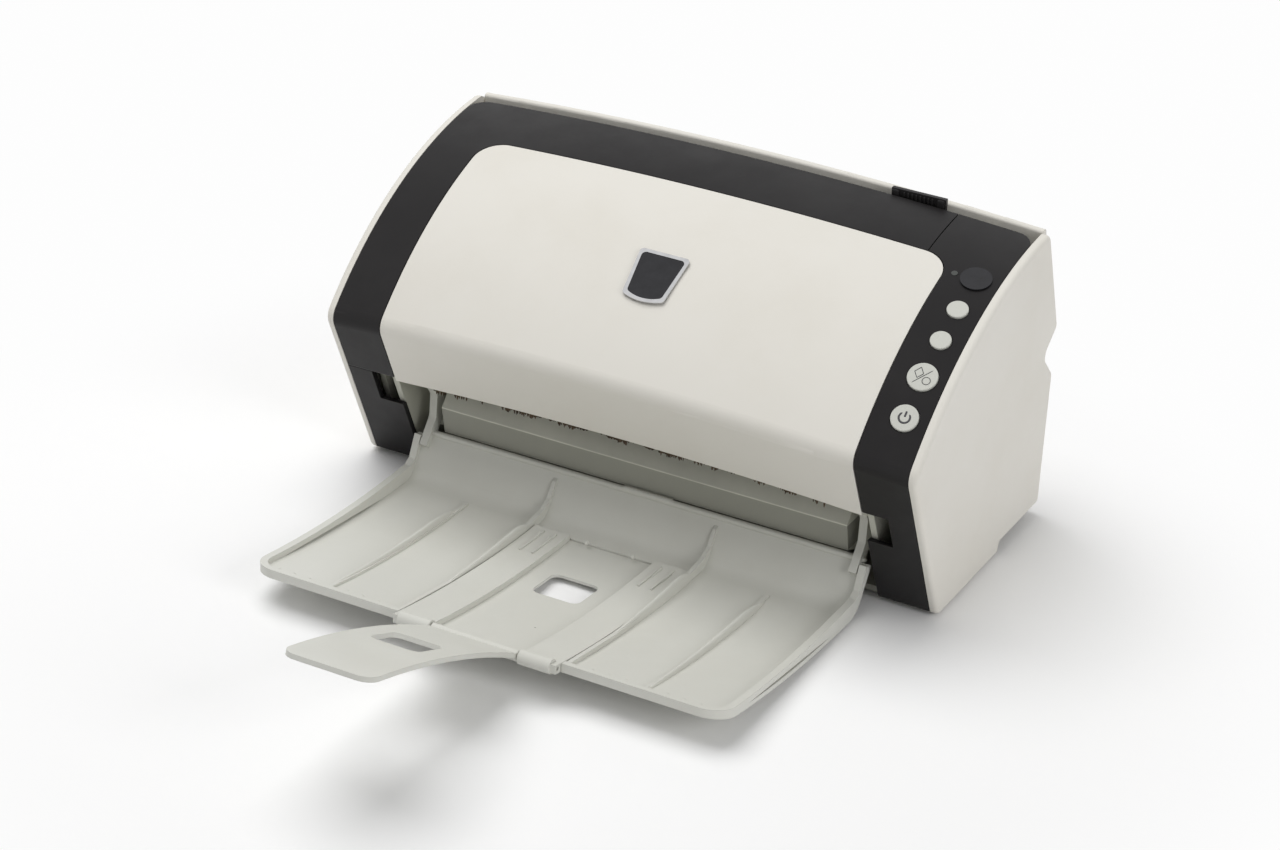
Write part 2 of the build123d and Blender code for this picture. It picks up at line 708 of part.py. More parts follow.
with BuildPart() as rear_cover:
    with BuildSketch(side_plane(-TRIM_HALF_WIDTH)):
        with BuildLine():
            edge = FilletPolyline(
                (TOP_REAR[0] + 0.2, TOP_REAR[1] - TOP_LEG),
                (BODY_REAR, NOTCH_TOP),
                NOTCH,
                (BODY_REAR - 0.3, REAR_BELT),
                REAR_FOOT,
                radius=[NOTCH_TOP_RADIUS, NOTCH_RADIUS, BELT_RADIUS],
            )
            offset(edge, amount=-REAR_SKIN, side=Side.RIGHT, kind=Kind.INTERSECTION)
        make_face()
    extrude(amount=2 * TRIM_HALF_WIDTH)
    with BuildSketch(side_plane(0)):
        with Locations((TOP_REAR[0], TOP_REAR[1] - TOP_LEG - SEAM + 30)):
            Rectangle(40, 60)
    revolve(axis=CROWN_AXIS, revolution_arc=CROWN_SWEEP, mode=Mode.SUBTRACT)
    with BuildSketch(side_plane(0)):
        with Locations((TOP_REAR[0], TOP_REAR[1] - TOP_LEG - SEAM + 30)):
            Rectangle(40, 60)
    revolve(axis=CROWN_AXIS, revolution_arc=-CROWN_SWEEP, mode=Mode.SUBTRACT)
    for x, size in ((DATA_SOCKET_X, DATA_SOCKET), (POWER_SOCKET_X, POWER_SOCKET)):
        with BuildSketch(plan_plane(MAIN_BOARD_HEIGHT + BOARD_THICKNESS - FIT_GAP)):
            with Locations((x, BODY_REAR)):
                Rectangle(size[0] + 2 * FIT_GAP, 16)
        extrude(amount=size[1] + 2 * FIT_GAP, mode=Mode.SUBTRACT)
    with BuildSketch(Plane.XZ.offset(-REAR_FOOT[0] - SHIFT - 10)):
        with Locations((VENT_X, VENT_HEIGHT)):
            with GridLocations(VENT_PITCH, 0, VENT_COUNT, 1):
                SlotOverall(VENT_LENGTH, VENT_WIDTH, rotation=90)
        with Locations((LOCK_X, LOCK_HEIGHT)):
            Rectangle(LOCK_SLOT[0], LOCK_SLOT[1])
    extrude(amount=20, mode=Mode.SUBTRACT)
finish(rear_cover, "rear_cover")


# Chassis: stepped floor, two walls at each side, hinge brackets, board posts and latch catches
def floor_outline():
    """Section of the stepped floor."""
    front = lower_face_y(TABLE_GAP + FLOOR_THICKNESS, INNER_WALL_X) + INNER_WALL_INSET + FLOOR_THICKNESS
    rear = REAR_FOOT[0] - REAR_SKIN - FIT_GAP
    top = TABLE_GAP + FLOOR_THICKNESS
    with BuildLine() as outline:
        Polyline(
            (front, TABLE_GAP),
            (BASE_STEP_Y - 3, TABLE_GAP),
            (BASE_STEP_Y - 1, REAR_FOOT[1] + 0.5),
            (rear, REAR_FOOT[1] + 0.5),
            (rear, REAR_FOOT[1] + 0.5 + FLOOR_THICKNESS),
            (BASE_STEP_Y - 4, REAR_FOOT[1] + 0.5 + FLOOR_THICKNESS),
            (BASE_STEP_Y - 6, top),
            (front, top),
            close=True,
        )
    make_face(outline.edges())


with BuildPart() as base_frame:
    with BuildSketch(side_plane(-OUTER_WALL_X - WALL_THICKNESS)):
        floor_outline()
    extrude(amount=2 * (OUTER_WALL_X + WALL_THICKNESS))
    for x in (-OUTER_WALL_X - WALL_THICKNESS, OUTER_WALL_X):
        with BuildSketch(side_plane(x)):
            side_outline(OUTER_WALL_X + WALL_THICKNESS)
            offset(amount=-OUTER_WALL_INSET, mode=Mode.REPLACE)
            with BuildLine() as foot:
                front = lower_face_y(TABLE_GAP, OUTER_WALL_X) + OUTER_WALL_INSET
                Polyline((front, 1.2), (20, 1.2), (20, 20), (front - 6, 20), close=True)
            make_face(foot.edges())
        extrude(amount=WALL_THICKNESS)
    for x in (-INNER_WALL_X - WALL_THICKNESS, INNER_WALL_X):
        with BuildSketch(side_plane(x)):
            side_outline(INNER_WALL_X + WALL_THICKNESS)
            offset(amount=-INNER_WALL_INSET, mode=Mode.REPLACE)
        extrude(amount=WALL_THICKNESS)
    with BuildSketch(side_plane(-INNER_WALL_X - WALL_THICKNESS)):
        with Locations((TOP_RIM[0] + 20, TOP_RIM[1] - TOP_INNER_DROP - 5)):
            Rectangle(42, 20, align=(Align.CENTER, Align.MIN))
    extrude(amount=2 * (INNER_WALL_X + WALL_THICKNESS), mode=Mode.SUBTRACT)
    for x in (-HINGE_WALL_X - WALL_THICKNESS, HINGE_WALL_X):
        with BuildSketch(side_plane(x)):
            with Locations(HINGE):
                Circle(HINGE_PIN_RADIUS + 3)
            with BuildLine() as bracket:
                Polyline(
                    (HINGE[0] - 5, HINGE[1]),
                    (HINGE[0] + 5, HINGE[1]),
                    (HINGE[0] + 22, TABLE_GAP + 1),
                    (HINGE[0] + 15, TABLE_GAP + 1),
                    close=True,
                )
            make_face(bracket.edges())
        extrude(amount=WALL_THICKNESS)
    for x in (-1, 1):
        with BuildSketch(side_plane(x * INNER_WALL_X)):
            with Locations(path_point(LATCH_AT[0] + CATCH_AHEAD, -CATCH_SINK)):
                Circle(CATCH_RADIUS)
        extrude(amount=-x * (INNER_WALL_X - HOOK_X + HOOK_WIDTH / 2))
    for y, foot in (
        (MAIN_BOARD_AT[1] - POST_Y, TABLE_GAP + 1),
        (MAIN_BOARD_AT[1] + POST_Y, REAR_FOOT[1] + 1),
    ):
        with BuildSketch(plan_plane(foot)):
            with Locations((MAIN_BOARD_AT[0] - POST_X, y), (MAIN_BOARD_AT[0] + POST_X, y)):
                Circle(3)
        extrude(amount=MAIN_BOARD_HEIGHT - foot)
    for x in (-OUTER_WALL_X - WALL_THICKNESS, OUTER_WALL_X):
        with BuildSketch(side_plane(x)):
            with Locations(HINGE):
                Circle(HINGE_PIN_RADIUS + 3)
        extrude(amount=WALL_THICKNESS)
    for s in (FEED_S, EJECT_S, PICK_S):
        with BuildSketch(side_plane(-INNER_WALL_X - WALL_THICKNESS - 1)):
            with Locations(path_point(s, -ROLLER_RADIUS)):
                Circle(SHAFT_RADIUS + RUNNING_GAP)
        extrude(amount=2 * (INNER_WALL_X + WALL_THICKNESS + 1), mode=Mode.SUBTRACT)
    with BuildSketch(side_plane(-OUTER_WALL_X - WALL_THICKNESS - 1)):
        with Locations(HINGE):
            Circle(HINGE_PIN_RADIUS)
    extrude(amount=2 * (OUTER_WALL_X + WALL_THICKNESS + 1), mode=Mode.SUBTRACT)
    with BuildSketch(side_plane(INNER_WALL_X - 1)):
        with Locations(MOTOR_AT):
            Circle(SHAFT_RADIUS)
    extrude(amount=WALL_THICKNESS + 2, mode=Mode.SUBTRACT)
finish(base_frame, "base_frame")

# Lower paper guide, with windows for the rollers and the lower image unit
GUIDE_HALF_WIDTH = INNER_WALL_X - FIT_GAP
GUIDE_MIDDLE = (GUIDE_TOP + GUIDE_LOW) / 2
GUIDE_LENGTH = GUIDE_TOP - GUIDE_LOW

with BuildPart() as lower_guide:
    path_box(0, 2 * GUIDE_HALF_WIDTH, GUIDE_MIDDLE, GUIDE_LENGTH, -PATH_GAP - GUIDE_THICKNESS, -PATH_GAP)
    path_box(0, 2 * UNIT_HALF_WIDTH + 1, LOWER_UNIT_S, UNIT_LENGTH + 1, -10, 5, Mode.SUBTRACT)
    for s in (FEED_S, EJECT_S):
        for x in ROLLER_X:
            path_box(x, ROLLER_LENGTH + 2, s, 2 * ROLLER_RADIUS - 2, -10, 5, Mode.SUBTRACT)
    path_box(0, PICK_LENGTH + 2, PICK_S, 2 * ROLLER_RADIUS - 2, -10, 5, Mode.SUBTRACT)
    for x in (-INNER_WALL_X, INNER_WALL_X):
        path_box(x, 2 * (INNER_WALL_X - HOOK_X) + 5, LATCH_AT[0], 16, -10, 5, Mode.SUBTRACT)
finish(lower_guide, "lower_guide")

with BuildPart() as lower_image_unit:
    top = -PATH_GAP - GUIDE_THICKNESS
    path_box(0, 2 * UNIT_HALF_WIDTH, LOWER_UNIT_S, UNIT_LENGTH, top - UNIT_DEPTH, -PATH_GAP)
    path_box(0, 2 * GUIDE_HALF_WIDTH, LOWER_UNIT_S, 14, top - 12, top - FIT_GAP)
    seat = -PATH_GAP - GLASS_THICKNESS - GLASS_SINK
    path_box(0, 2 * GLASS_HALF_WIDTH, LOWER_UNIT_S, GLASS_LENGTH, seat, 5, Mode.SUBTRACT)
finish(lower_image_unit, "lower_image_unit")

with BuildPart() as lower_glass:
    low = -PATH_GAP - GLASS_THICKNESS - GLASS_SINK
    path_box(0, 2 * GLASS_HALF_WIDTH - 0.2, LOWER_UNIT_S, GLASS_LENGTH - 0.2, low, low + GLASS_THICKNESS)
finish(lower_glass, "lower_glass")


def path_windows(low, high):
    """Cuts the roller and separation pad windows through a guide plate."""
    for s in (FEED_S, EJECT_S):
        for x in ROLLER_X:
            path_box(x, ROLLER_LENGTH + 2, s, 2 * ROLLER_RADIUS - 2, low, high, Mode.SUBTRACT)


# Exit guide under the lower end of the paper path, and the dark pile strip on it
with BuildPart() as exit_guide:
    with BuildSketch(side_plane(-EXIT_HALF_WIDTH)):
        with BuildLine():
            Polyline(EXIT_TOP, EXIT_NOSE, EXIT_CHIN, EXIT_FOOT, (EXIT_TOP[0] + 2, EXIT_TOP[1]), close=True)
        make_face()
    extrude(amount=2 * EXIT_HALF_WIDTH)
    with BuildSketch(side_plane(-GUIDE_HALF_WIDTH)):
        with Locations((EXIT_FLANGE_Y, (EXIT_TOP[1] + EXIT_FOOT[1]) / 2)):
            Rectangle(EXIT_FLANGE, EXIT_TOP[1] - EXIT_FOOT[1])
    extrude(amount=2 * GUIDE_HALF_WIDTH)
    with BuildSketch(side_plane(-EXIT_HALF_WIDTH)):
        with BuildLine():
            Polyline(
                (EXIT_TOP[0] + 1, EXIT_TOP[1]),
                (EXIT_FLANGE_Y, EXIT_TOP[1]),
                (EXIT_FLANGE_Y, EXIT_FOOT[1]),
                EXIT_FOOT,
                close=True,
            )
        make_face()
    extrude(amount=2 * EXIT_HALF_WIDTH)
finish(exit_guide, "exit_guide")

with BuildPart() as exit_pile:
    run = (EXIT_NOSE[0] - EXIT_TOP[0], EXIT_NOSE[1] - EXIT_TOP[1])
    reach = hypot(run[0], run[1])
    out = (run[1] / reach * PILE_THICKNESS, -run[0] / reach * PILE_THICKNESS)
    start = (EXIT_TOP[0] + run[0] * 0.2, EXIT_TOP[1] + run[1] * 0.2)
    end = (EXIT_TOP[0] + run[0] * 0.75, EXIT_TOP[1] + run[1] * 0.75)
    with BuildSketch(side_plane(-EXIT_HALF_WIDTH + 2)):
        with BuildLine():
            Polyline(
                start,
                end,
                (end[0] + out[0], end[1] + out[1]),
                (start[0] + out[0], start[1] + out[1]),
                close=True,
            )
        make_face()
    extrude(amount=2 * EXIT_HALF_WIDTH - 4)
finish(exit_pile, "exit_pile")

# Driven rollers: a shaft across the body, rubber tyres on it and a belt pulley at its right end
SHAFT_LEFT = INNER_WALL_X + WALL_THICKNESS

for name, s, tyres in (("feed", FEED_S, ROLLER_X), ("eject", EJECT_S, ROLLER_X), ("pick", PICK_S, (0.0,))):
    length = PICK_LENGTH if name == "pick" else ROLLER_LENGTH
    with BuildPart() as shaft:
        round_bar(-SHAFT_LEFT, s, -ROLLER_RADIUS, SHAFT_RADIUS, SHAFT_LEFT + PULLEY_X + PULLEY_WIDTH)
    finish(shaft, name + "_shaft")
    with BuildPart() as tyre:
        for x in tyres:
            with BuildSketch(side_plane(x - length / 2)) as ring:
                with Locations(path_point(s, -ROLLER_RADIUS)):
                    Circle(ROLLER_RADIUS)
                    Circle(SHAFT_RADIUS, mode=Mode.SUBTRACT)
            extrude(amount=length)
    finish(tyre, name + "_tyres")
    with BuildPart() as pulley:
        with BuildSketch(side_plane(PULLEY_X)):
            with Locations(path_point(s, -ROLLER_RADIUS)):
                Circle(PULLEY_RADIUS)
                Circle(SHAFT_RADIUS, mode=Mode.SUBTRACT)
        extrude(amount=PULLEY_WIDTH)
    finish(pulley, name + "_pulley")

# Motor on the inside of the right wall, its shaft through the wall, and the belt
with BuildPart() as drive_motor:
    with BuildSketch(side_plane(INNER_WALL_X)):
        with Locations(MOTOR_AT):
            RectangleRounded(MOTOR_SIZE, MOTOR_SIZE, 4)
            Circle(MOTOR_SHAFT_RADIUS + RUNNING_GAP, mode=Mode.SUBTRACT)
    extrude(amount=-MOTOR_LENGTH)
finish(drive_motor, "drive_motor")

with BuildPart() as motor_shaft:
    with BuildSketch(side_plane(INNER_WALL_X - MOTOR_LENGTH + 4)):
        with Locations(MOTOR_AT):
            Circle(MOTOR_SHAFT_RADIUS)
    extrude(amount=PULLEY_X + PULLEY_WIDTH - INNER_WALL_X + MOTOR_LENGTH - 4)
finish(motor_shaft, "motor_shaft")

with BuildPart() as motor_pulley:
    with BuildSketch(side_plane(PULLEY_X)):
        with Locations(MOTOR_AT):
            Circle(MOTOR_PULLEY_RADIUS)
            Circle(MOTOR_SHAFT_RADIUS, mode=Mode.SUBTRACT)
    extrude(amount=PULLEY_WIDTH)
finish(motor_pulley, "motor_pulley")


def belt_face(clear):
    """Area inside a loop that runs round all four pulleys at a distance from them."""
    with BuildSketch(side_plane(PULLEY_X + 0.5)) as loop:
        for s in (FEED_S, EJECT_S, PICK_S):
            with Locations(path_point(s, -ROLLER_RADIUS)):
                Circle(PULLEY_RADIUS + clear)
        with Locations(MOTOR_AT):
            Circle(MOTOR_PULLEY_RADIUS + clear)
        make_hull()
    return loop.sketch


with BuildPart() as drive_belt:
    extrude(belt_face(BELT_CLEARANCE + BELT_THICKNESS), amount=PULLEY_WIDTH - 1)
    extrude(belt_face(BELT_CLEARANCE), amount=PULLEY_WIDTH - 1, mode=Mode.SUBTRACT)
finish(drive_belt, "drive_belt")

# Cover frame: upper paper guide, side ribs under the skin, hinge ears and bearing brackets
with BuildPart() as cover_frame:
    for x in (-COVER_EAR_X - COVER_EAR_WIDTH, COVER_EAR_X):
        with BuildSketch(side_plane(x)):
            side_outline(COVER_EAR_X + COVER_EAR_WIDTH)
            offset(amount=-SKIN - FIT_GAP, mode=Mode.REPLACE)
        extrude(amount=COVER_EAR_WIDTH)
    wide_middle = (COVER_WIDE_TOP + COVER_LOW) / 2
    wide_length = COVER_WIDE_TOP - COVER_LOW
    path_box(0, BODY_WIDTH, wide_middle, wide_length, PATH_GAP, 80, Mode.INTERSECT)
    for x in (-COVER_EAR_X - COVER_EAR_WIDTH, COVER_EAR_X):
        with BuildSketch(side_plane(x)):
            with Locations(HINGE, path_point(COVER_LOW + 10, 10)):
                Circle(COVER_EAR_RADIUS)
            make_hull()
        extrude(amount=COVER_EAR_WIDTH)
    path_box(0, 2 * (COVER_EAR_X + 1), wide_middle, wide_length, PATH_GAP, PATH_GAP + GUIDE_THICKNESS)
    narrow_length = COVER_TOP - COVER_WIDE_TOP + 2
    narrow_middle = COVER_TOP - narrow_length / 2
    plate_top = PATH_GAP + GUIDE_THICKNESS
    path_box(0, 2 * COVER_NARROW, narrow_middle, narrow_length, PATH_GAP, plate_top)
    path_windows(-5, PATH_GAP + GUIDE_THICKNESS + 1)
    path_box(0, 2 * PAD_HALF_WIDTH + 1, PICK_S, PAD_LENGTH + 1, -5, 10, Mode.SUBTRACT)
    path_box(0, 2 * UNIT_HALF_WIDTH + 1, UPPER_UNIT_S, UNIT_LENGTH + 1, -5, 10, Mode.SUBTRACT)
    for x in (-HOOK_X, HOOK_X):
        path_box(x, 5, LATCH_AT[0] + 1, 14, -5, 10, Mode.SUBTRACT)
    for s in (FEED_S, EJECT_S):
        for x in (-BRACKET_X, BRACKET_X):
            path_box(x, 3, s, 12, PATH_GAP, IDLER_HEIGHT + 4)
    for x in (-LATCH_BRACKET_X, LATCH_BRACKET_X):
        path_box(x, 3, LATCH_AT[0], 8, PATH_GAP, LATCH_AT[1] + 4.0)
    with BuildSketch(side_plane(-LATCH_BRACKET_X - 3)):
        with Locations(path_point(*LATCH_AT)):
            Circle(LATCH_SHAFT_RADIUS + RUNNING_GAP)
    extrude(amount=2 * (LATCH_BRACKET_X + 3), mode=Mode.SUBTRACT)
    with BuildSketch(side_plane(-COVER_EAR_X - COVER_EAR_WIDTH - 1)):
        with Locations(HINGE):
            Circle(HINGE_PIN_RADIUS + RUNNING_GAP)
    extrude(amount=2 * (COVER_EAR_X + COVER_EAR_WIDTH + 1), mode=Mode.SUBTRACT)
    for s in (FEED_S, EJECT_S):
        with BuildSketch(side_plane(-BRACKET_X - 4)):
            with Locations(path_point(s, IDLER_HEIGHT)):
                Circle(IDLER_SHAFT_RADIUS + RUNNING_GAP)
        extrude(amount=2 * (BRACKET_X + 4), mode=Mode.SUBTRACT)
    with BuildSketch(side_plane(TRIM_SPLIT_X - SEAM)):
        with Locations(HINGE):
            Rectangle(600, 600)
            Circle(FRAME_SWING_RADIUS, mode=Mode.SUBTRACT)
    extrude(amount=30, mode=Mode.SUBTRACT)
finish(cover_frame, "cover_frame")

# Upper image unit and its glass
with BuildPart() as upper_image_unit:
    path_box(0, 2 * UNIT_HALF_WIDTH, UPPER_UNIT_S, UNIT_LENGTH, PATH_GAP, PATH_GAP + UNIT_DEPTH)
    seat = PATH_GAP + GLASS_SINK + GLASS_THICKNESS
    path_box(0, 2 * GLASS_HALF_WIDTH, UPPER_UNIT_S, GLASS_LENGTH, -1, seat, Mode.SUBTRACT)
    flange_low = PATH_GAP + GUIDE_THICKNESS + FIT_GAP
    flange_top = PATH_GAP + UNIT_DEPTH / 2
    path_box(0, 2 * UNIT_HALF_WIDTH, UPPER_UNIT_S, UNIT_LENGTH + 6, flange_low, flange_top)
finish(upper_image_unit, "upper_image_unit")

with BuildPart() as upper_glass:
    low = PATH_GAP + GLASS_SINK
    path_box(0, 2 * GLASS_HALF_WIDTH - 0.2, UPPER_UNIT_S, GLASS_LENGTH - 0.2, low, low + GLASS_THICKNESS)
finish(upper_glass, "upper_glass")

# Separation pad over the pick roller
with BuildPart() as pad_holder:
    path_box(0, 2 * PAD_HALF_WIDTH, PICK_S, PAD_LENGTH, 1.0, 5.5)
finish(pad_holder, "pad_holder")

with BuildPart() as separation_pad:
    path_box(0, PICK_LENGTH, PICK_S, PAD_LENGTH - 6, 0.3, 1.0)
finish(separation_pad, "separation_pad")

# Sprung idlers in the cover, one pair over each driven pair
for name, s in (("feed_idler", FEED_S), ("eject_idler", EJECT_S)):
    with BuildPart() as axle:
        round_bar(-BRACKET_X - 2.5, s, IDLER_HEIGHT, IDLER_SHAFT_RADIUS, 2 * BRACKET_X + 5)
    finish(axle, name + "_axle")
    with BuildPart() as wheels:
        for x in ROLLER_X:
            with BuildSketch(side_plane(x - IDLER_LENGTH / 2)):
                with Locations(path_point(s, IDLER_HEIGHT)):
                    Circle(IDLER_RADIUS)
                    Circle(IDLER_SHAFT_RADIUS, mode=Mode.SUBTRACT)
            extrude(amount=IDLER_LENGTH)
    finish(wheels, name + "_wheels")

# Latch lever: the thumb tab behind the top band, its shaft and the two hooks
with BuildPart() as latch_lever:
    with BuildSketch(side_plane(LEVER_X)):
        with Locations(path_point(*LATCH_AT)):
            Circle(LATCH_SHAFT_RADIUS + 2)
        with BuildLine():
            Polyline(*LEVER_OUTLINE, close=True)
        make_face()
    extrude(amount=LEVER_WIDTH)
    with BuildSketch(side_plane(LEVER_X - 1)):
        with Locations(path_point(*LATCH_AT)):
            Circle(LATCH_SHAFT_RADIUS)
    extrude(amount=LEVER_WIDTH + 2, mode=Mode.SUBTRACT)
finish(latch_lever, "latch_lever")

with BuildPart() as latch_shaft:
    round_bar(-LATCH_SHAFT_HALF, LATCH_AT[0], LATCH_AT[1], LATCH_SHAFT_RADIUS, 2 * LATCH_SHAFT_HALF)
finish(latch_shaft, "latch_shaft")

for name, x in (("latch_hook_right", HOOK_X), ("latch_hook_left", -HOOK_X)):
    with BuildPart() as hook:
        with BuildSketch(side_plane(x - HOOK_WIDTH / 2)):
            with Locations(path_point(*LATCH_AT)):
                Circle(LATCH_SHAFT_RADIUS + 2)
            with BuildLine():
                Polyline(*[path_point(LATCH_AT[0] + s, h) for s, h in HOOK_OUTLINE], close=True)
            make_face()
            with Locations(path_point(*LATCH_AT)):
                Circle(LATCH_SHAFT_RADIUS, mode=Mode.SUBTRACT)
        extrude(amount=HOOK_WIDTH)
    finish(hook, name)

# Output tray
TRAY_CHORD = hypot(TRAY_FRONT - KNEE[0], TRAY_FRONT_HEIGHT - KNEE[1])
TRAY_SLANT = ((TRAY_FRONT_HEIGHT - KNEE[1]) / TRAY_CHORD, (KNEE[0] - TRAY_FRONT) / TRAY_CHORD)
TRAY_REACH = sqrt(FLOOR_RADIUS**2 - TRAY_CHORD**2 / 4)
FLOOR_CENTRE = (
    (KNEE[0] + TRAY_FRONT) / 2 + TRAY_REACH * TRAY_SLANT[0],
    (KNEE[1] + TRAY_FRONT_HEIGHT) / 2 + TRAY_REACH * TRAY_SLANT[1],
)


def floor_point(y, rise=0.0):
    """Body (y, z) on the tray's curved floor, or a rise above it."""
    radius = FLOOR_RADIUS - rise
    return (y, FLOOR_CENTRE[1] - sqrt(radius**2 - (y - FLOOR_CENTRE[0]) ** 2))


def floor_strip(back, front, low, high):
    """Closed outline that follows the floor from back to front, between two rises."""
    middle = (back + front) / 2
    with BuildLine() as outline:
        ThreePointArc(floor_point(back, high), floor_point(middle, high), floor_point(front, high))
        Line(floor_point(front, high), floor_point(front, low))
        ThreePointArc(floor_point(front, low), floor_point(middle, low), floor_point(back, low))
        Line(floor_point(back, low), floor_point(back, high))
    make_face(outline.edges())


def tray_plan(inset, back):
    """The tray's outline from above, round at its front corners."""
    with BuildSketch(plan_plane(-20)) as plan:
        with Locations((0, TRAY_FRONT + inset)):
            Rectangle(2 * (TRAY_HALF_WIDTH - inset), back - TRAY_FRONT, align=(Align.CENTER, Align.MIN))
        fillet(vertices().group_by(Axis.Y)[0], TRAY_CORNER - inset)
    return plan.sketch


with BuildPart() as tray_rim:
    with BuildSketch(side_plane(-TRAY_HALF_WIDTH - 2)):
        with BuildLine():
            ThreePointArc(*RIM_TOP)
            Polyline(
                RIM_TOP[2],
                (TRAY_FRONT - 3, RIM_TOP[2][1] + 0.2),
                floor_point(TRAY_FRONT - 3, -TRAY_THICKNESS),
                floor_point(KNEE[0] - 4, -TRAY_THICKNESS + 0.5),
                (KNEE[0] + 3, KNEE[1] + 1),
                (TRAY_BACK[0] + 1, TRAY_BACK[1] - 1),
                RIM_BACK,
                (KNEE[0] + 4, 12.0),
                RIM_TOP[0],
            )
        make_face()
    extrude(amount=2 * TRAY_HALF_WIDTH + 4)
    extrude(tray_plan(RIM_THICKNESS, 30), amount=80, mode=Mode.SUBTRACT)

with BuildPart() as tray:
    slope = hypot(TRAY_BACK[0] - KNEE[0], TRAY_BACK[1] - KNEE[1])
    under = ((TRAY_BACK[1] - KNEE[1]) / slope, -(TRAY_BACK[0] - KNEE[0]) / slope)
    back_low = (TRAY_BACK[0] + under[0] * TRAY_THICKNESS, TRAY_BACK[1] + under[1] * TRAY_THICKNESS)
    knee_low = (KNEE[0] + 0.53 * TRAY_THICKNESS, KNEE[1] - TRAY_THICKNESS)
    past = TRAY_FRONT - 3
    tray_middle = (TRAY_FRONT + KNEE[0]) / 2
    with BuildSketch(side_plane(-TRAY_HALF_WIDTH - 2)):
        with BuildLine():
            ThreePointArc(floor_point(past), floor_point(tray_middle), KNEE)
            Polyline(KNEE, TRAY_BACK, back_low, knee_low)
            ThreePointArc(
                knee_low,
                floor_point(tray_middle, -TRAY_THICKNESS),
                floor_point(past, -TRAY_THICKNESS),
            )
            Line(floor_point(past, -TRAY_THICKNESS), floor_point(past))
        make_face()
        fillet(vertices().sort_by_distance(KNEE)[0], KNEE_RADIUS)
        fillet(vertices().sort_by_distance(knee_low)[0], KNEE_RADIUS + TRAY_THICKNESS)
    extrude(amount=2 * TRAY_HALF_WIDTH + 4)
    add(tray_rim.part)
    extrude(tray_plan(0, 0), amount=80, mode=Mode.INTERSECT)
    for x in (-RIB_X, RIB_X):
        with BuildSketch(side_plane(x - RIB_THICKNESS / 2)):
            floor_strip(KNEE[0] - 8, TRAY_FRONT + 2, -1, RIB_RISE)
        extrude(amount=RIB_THICKNESS)
    with BuildSketch(plan_plane(-10)):
        with Locations((0, LEAF_BACK + FIT_GAP)):
            Rectangle(2 * (LEAF_HALF_WIDTH + FIT_GAP), 150, align=(Align.CENTER, Align.MAX))
    extrude(amount=60, mode=Mode.SUBTRACT)
    for x in (-CREST_X, CREST_X):
        with BuildSketch(side_plane(x - CREST_THICKNESS / 2)):
            with BuildLine():
                Polyline(
                    *CREST_TOP,
                    floor_point(CREST_TOP[-1][0], -1),
                    floor_point(tray_middle, -1),
                    floor_point(KNEE[0] - 6, -1),
                    (KNEE[0] + 3, KNEE[1] + 1.5),
                    (TRAY_BACK[0] + 0.8, TRAY_BACK[1] - 1),
                    close=True,
                )
            make_face()
        extrude(amount=CREST_THICKNESS)
    for x in (-ARM_X - ARM_WIDTH, ARM_X):
        with BuildSketch(side_plane(x)):
            with BuildLine() as neck:
                FilletPolyline(HINGE, *ARM_NECK, radius=ARM_BEND)
            trace(neck.edges(), line_width=ARM_DEPTH)
            with Locations(HINGE):
                Circle(ARM_RING_RADIUS)
                Circle(HINGE_PIN_RADIUS + RUNNING_GAP, mode=Mode.SUBTRACT)
        extrude(amount=ARM_WIDTH)
finish(tray, "tray")

# Middle leaf of the tray, with the recess that takes the folded tongue, and the hinge knuckles
with BuildPart() as tray_leaf:
    with BuildSketch(side_plane(-LEAF_HALF_WIDTH)):
        floor_strip(LEAF_BACK, LEAF_FRONT, -TRAY_THICKNESS, LEAF_RISE)
    extrude(amount=2 * LEAF_HALF_WIDTH)
    with BuildSketch(side_plane(-RECESS_HALF_WIDTH)):
        floor_strip(LEAF_BACK + 5, LEAF_FRONT - 5, LEAF_RISE - RECESS_DEPTH, LEAF_RISE + 5)
    extrude(amount=2 * RECESS_HALF_WIDTH, mode=Mode.SUBTRACT)
    with BuildSketch(plan_plane(-10)):
        with Locations((0, TONGUE_HINGE[0] + TONGUE_BARREL_RADIUS + FIT_GAP)):
            Rectangle(2 * RECESS_HALF_WIDTH, 30, align=(Align.CENTER, Align.MAX))
        with Locations((0, LEAF_WINDOW_Y)):
            RectangleRounded(LEAF_WINDOW[0], LEAF_WINDOW[1], 4)
    extrude(amount=60, mode=Mode.SUBTRACT)
    for side in (-1, 1):
        inner = side * RECESS_HALF_WIDTH
        with BuildSketch(side_plane(inner)):
            with Locations(TONGUE_HINGE):
                Circle(KNUCKLE_RADIUS)
        extrude(amount=side * (KNUCKLE_OUT - RECESS_HALF_WIDTH))
        for x in LEAF_RIB_X:
            with BuildSketch(side_plane(side * x - 0.5)):
                floor_strip(LEAF_BACK - 4, LEAF_BACK - 26, 1, LEAF_RISE + 0.8)
            extrude(amount=1)
    with BuildSketch(side_plane(-LEAF_HALF_WIDTH - 1)):
        with Locations(TONGUE_HINGE):
            Circle(TONGUE_PIN_RADIUS)
    extrude(amount=2 * LEAF_HALF_WIDTH + 2, mode=Mode.SUBTRACT)
finish(tray_leaf, "tray_leaf")

with BuildPart() as tongue_pin:
    with BuildSketch(side_plane(-KNUCKLE_OUT)):
        with Locations(TONGUE_HINGE):
            Circle(TONGUE_PIN_RADIUS)
    extrude(amount=2 * KNUCKLE_OUT)
finish(tongue_pin, "tongue_pin")


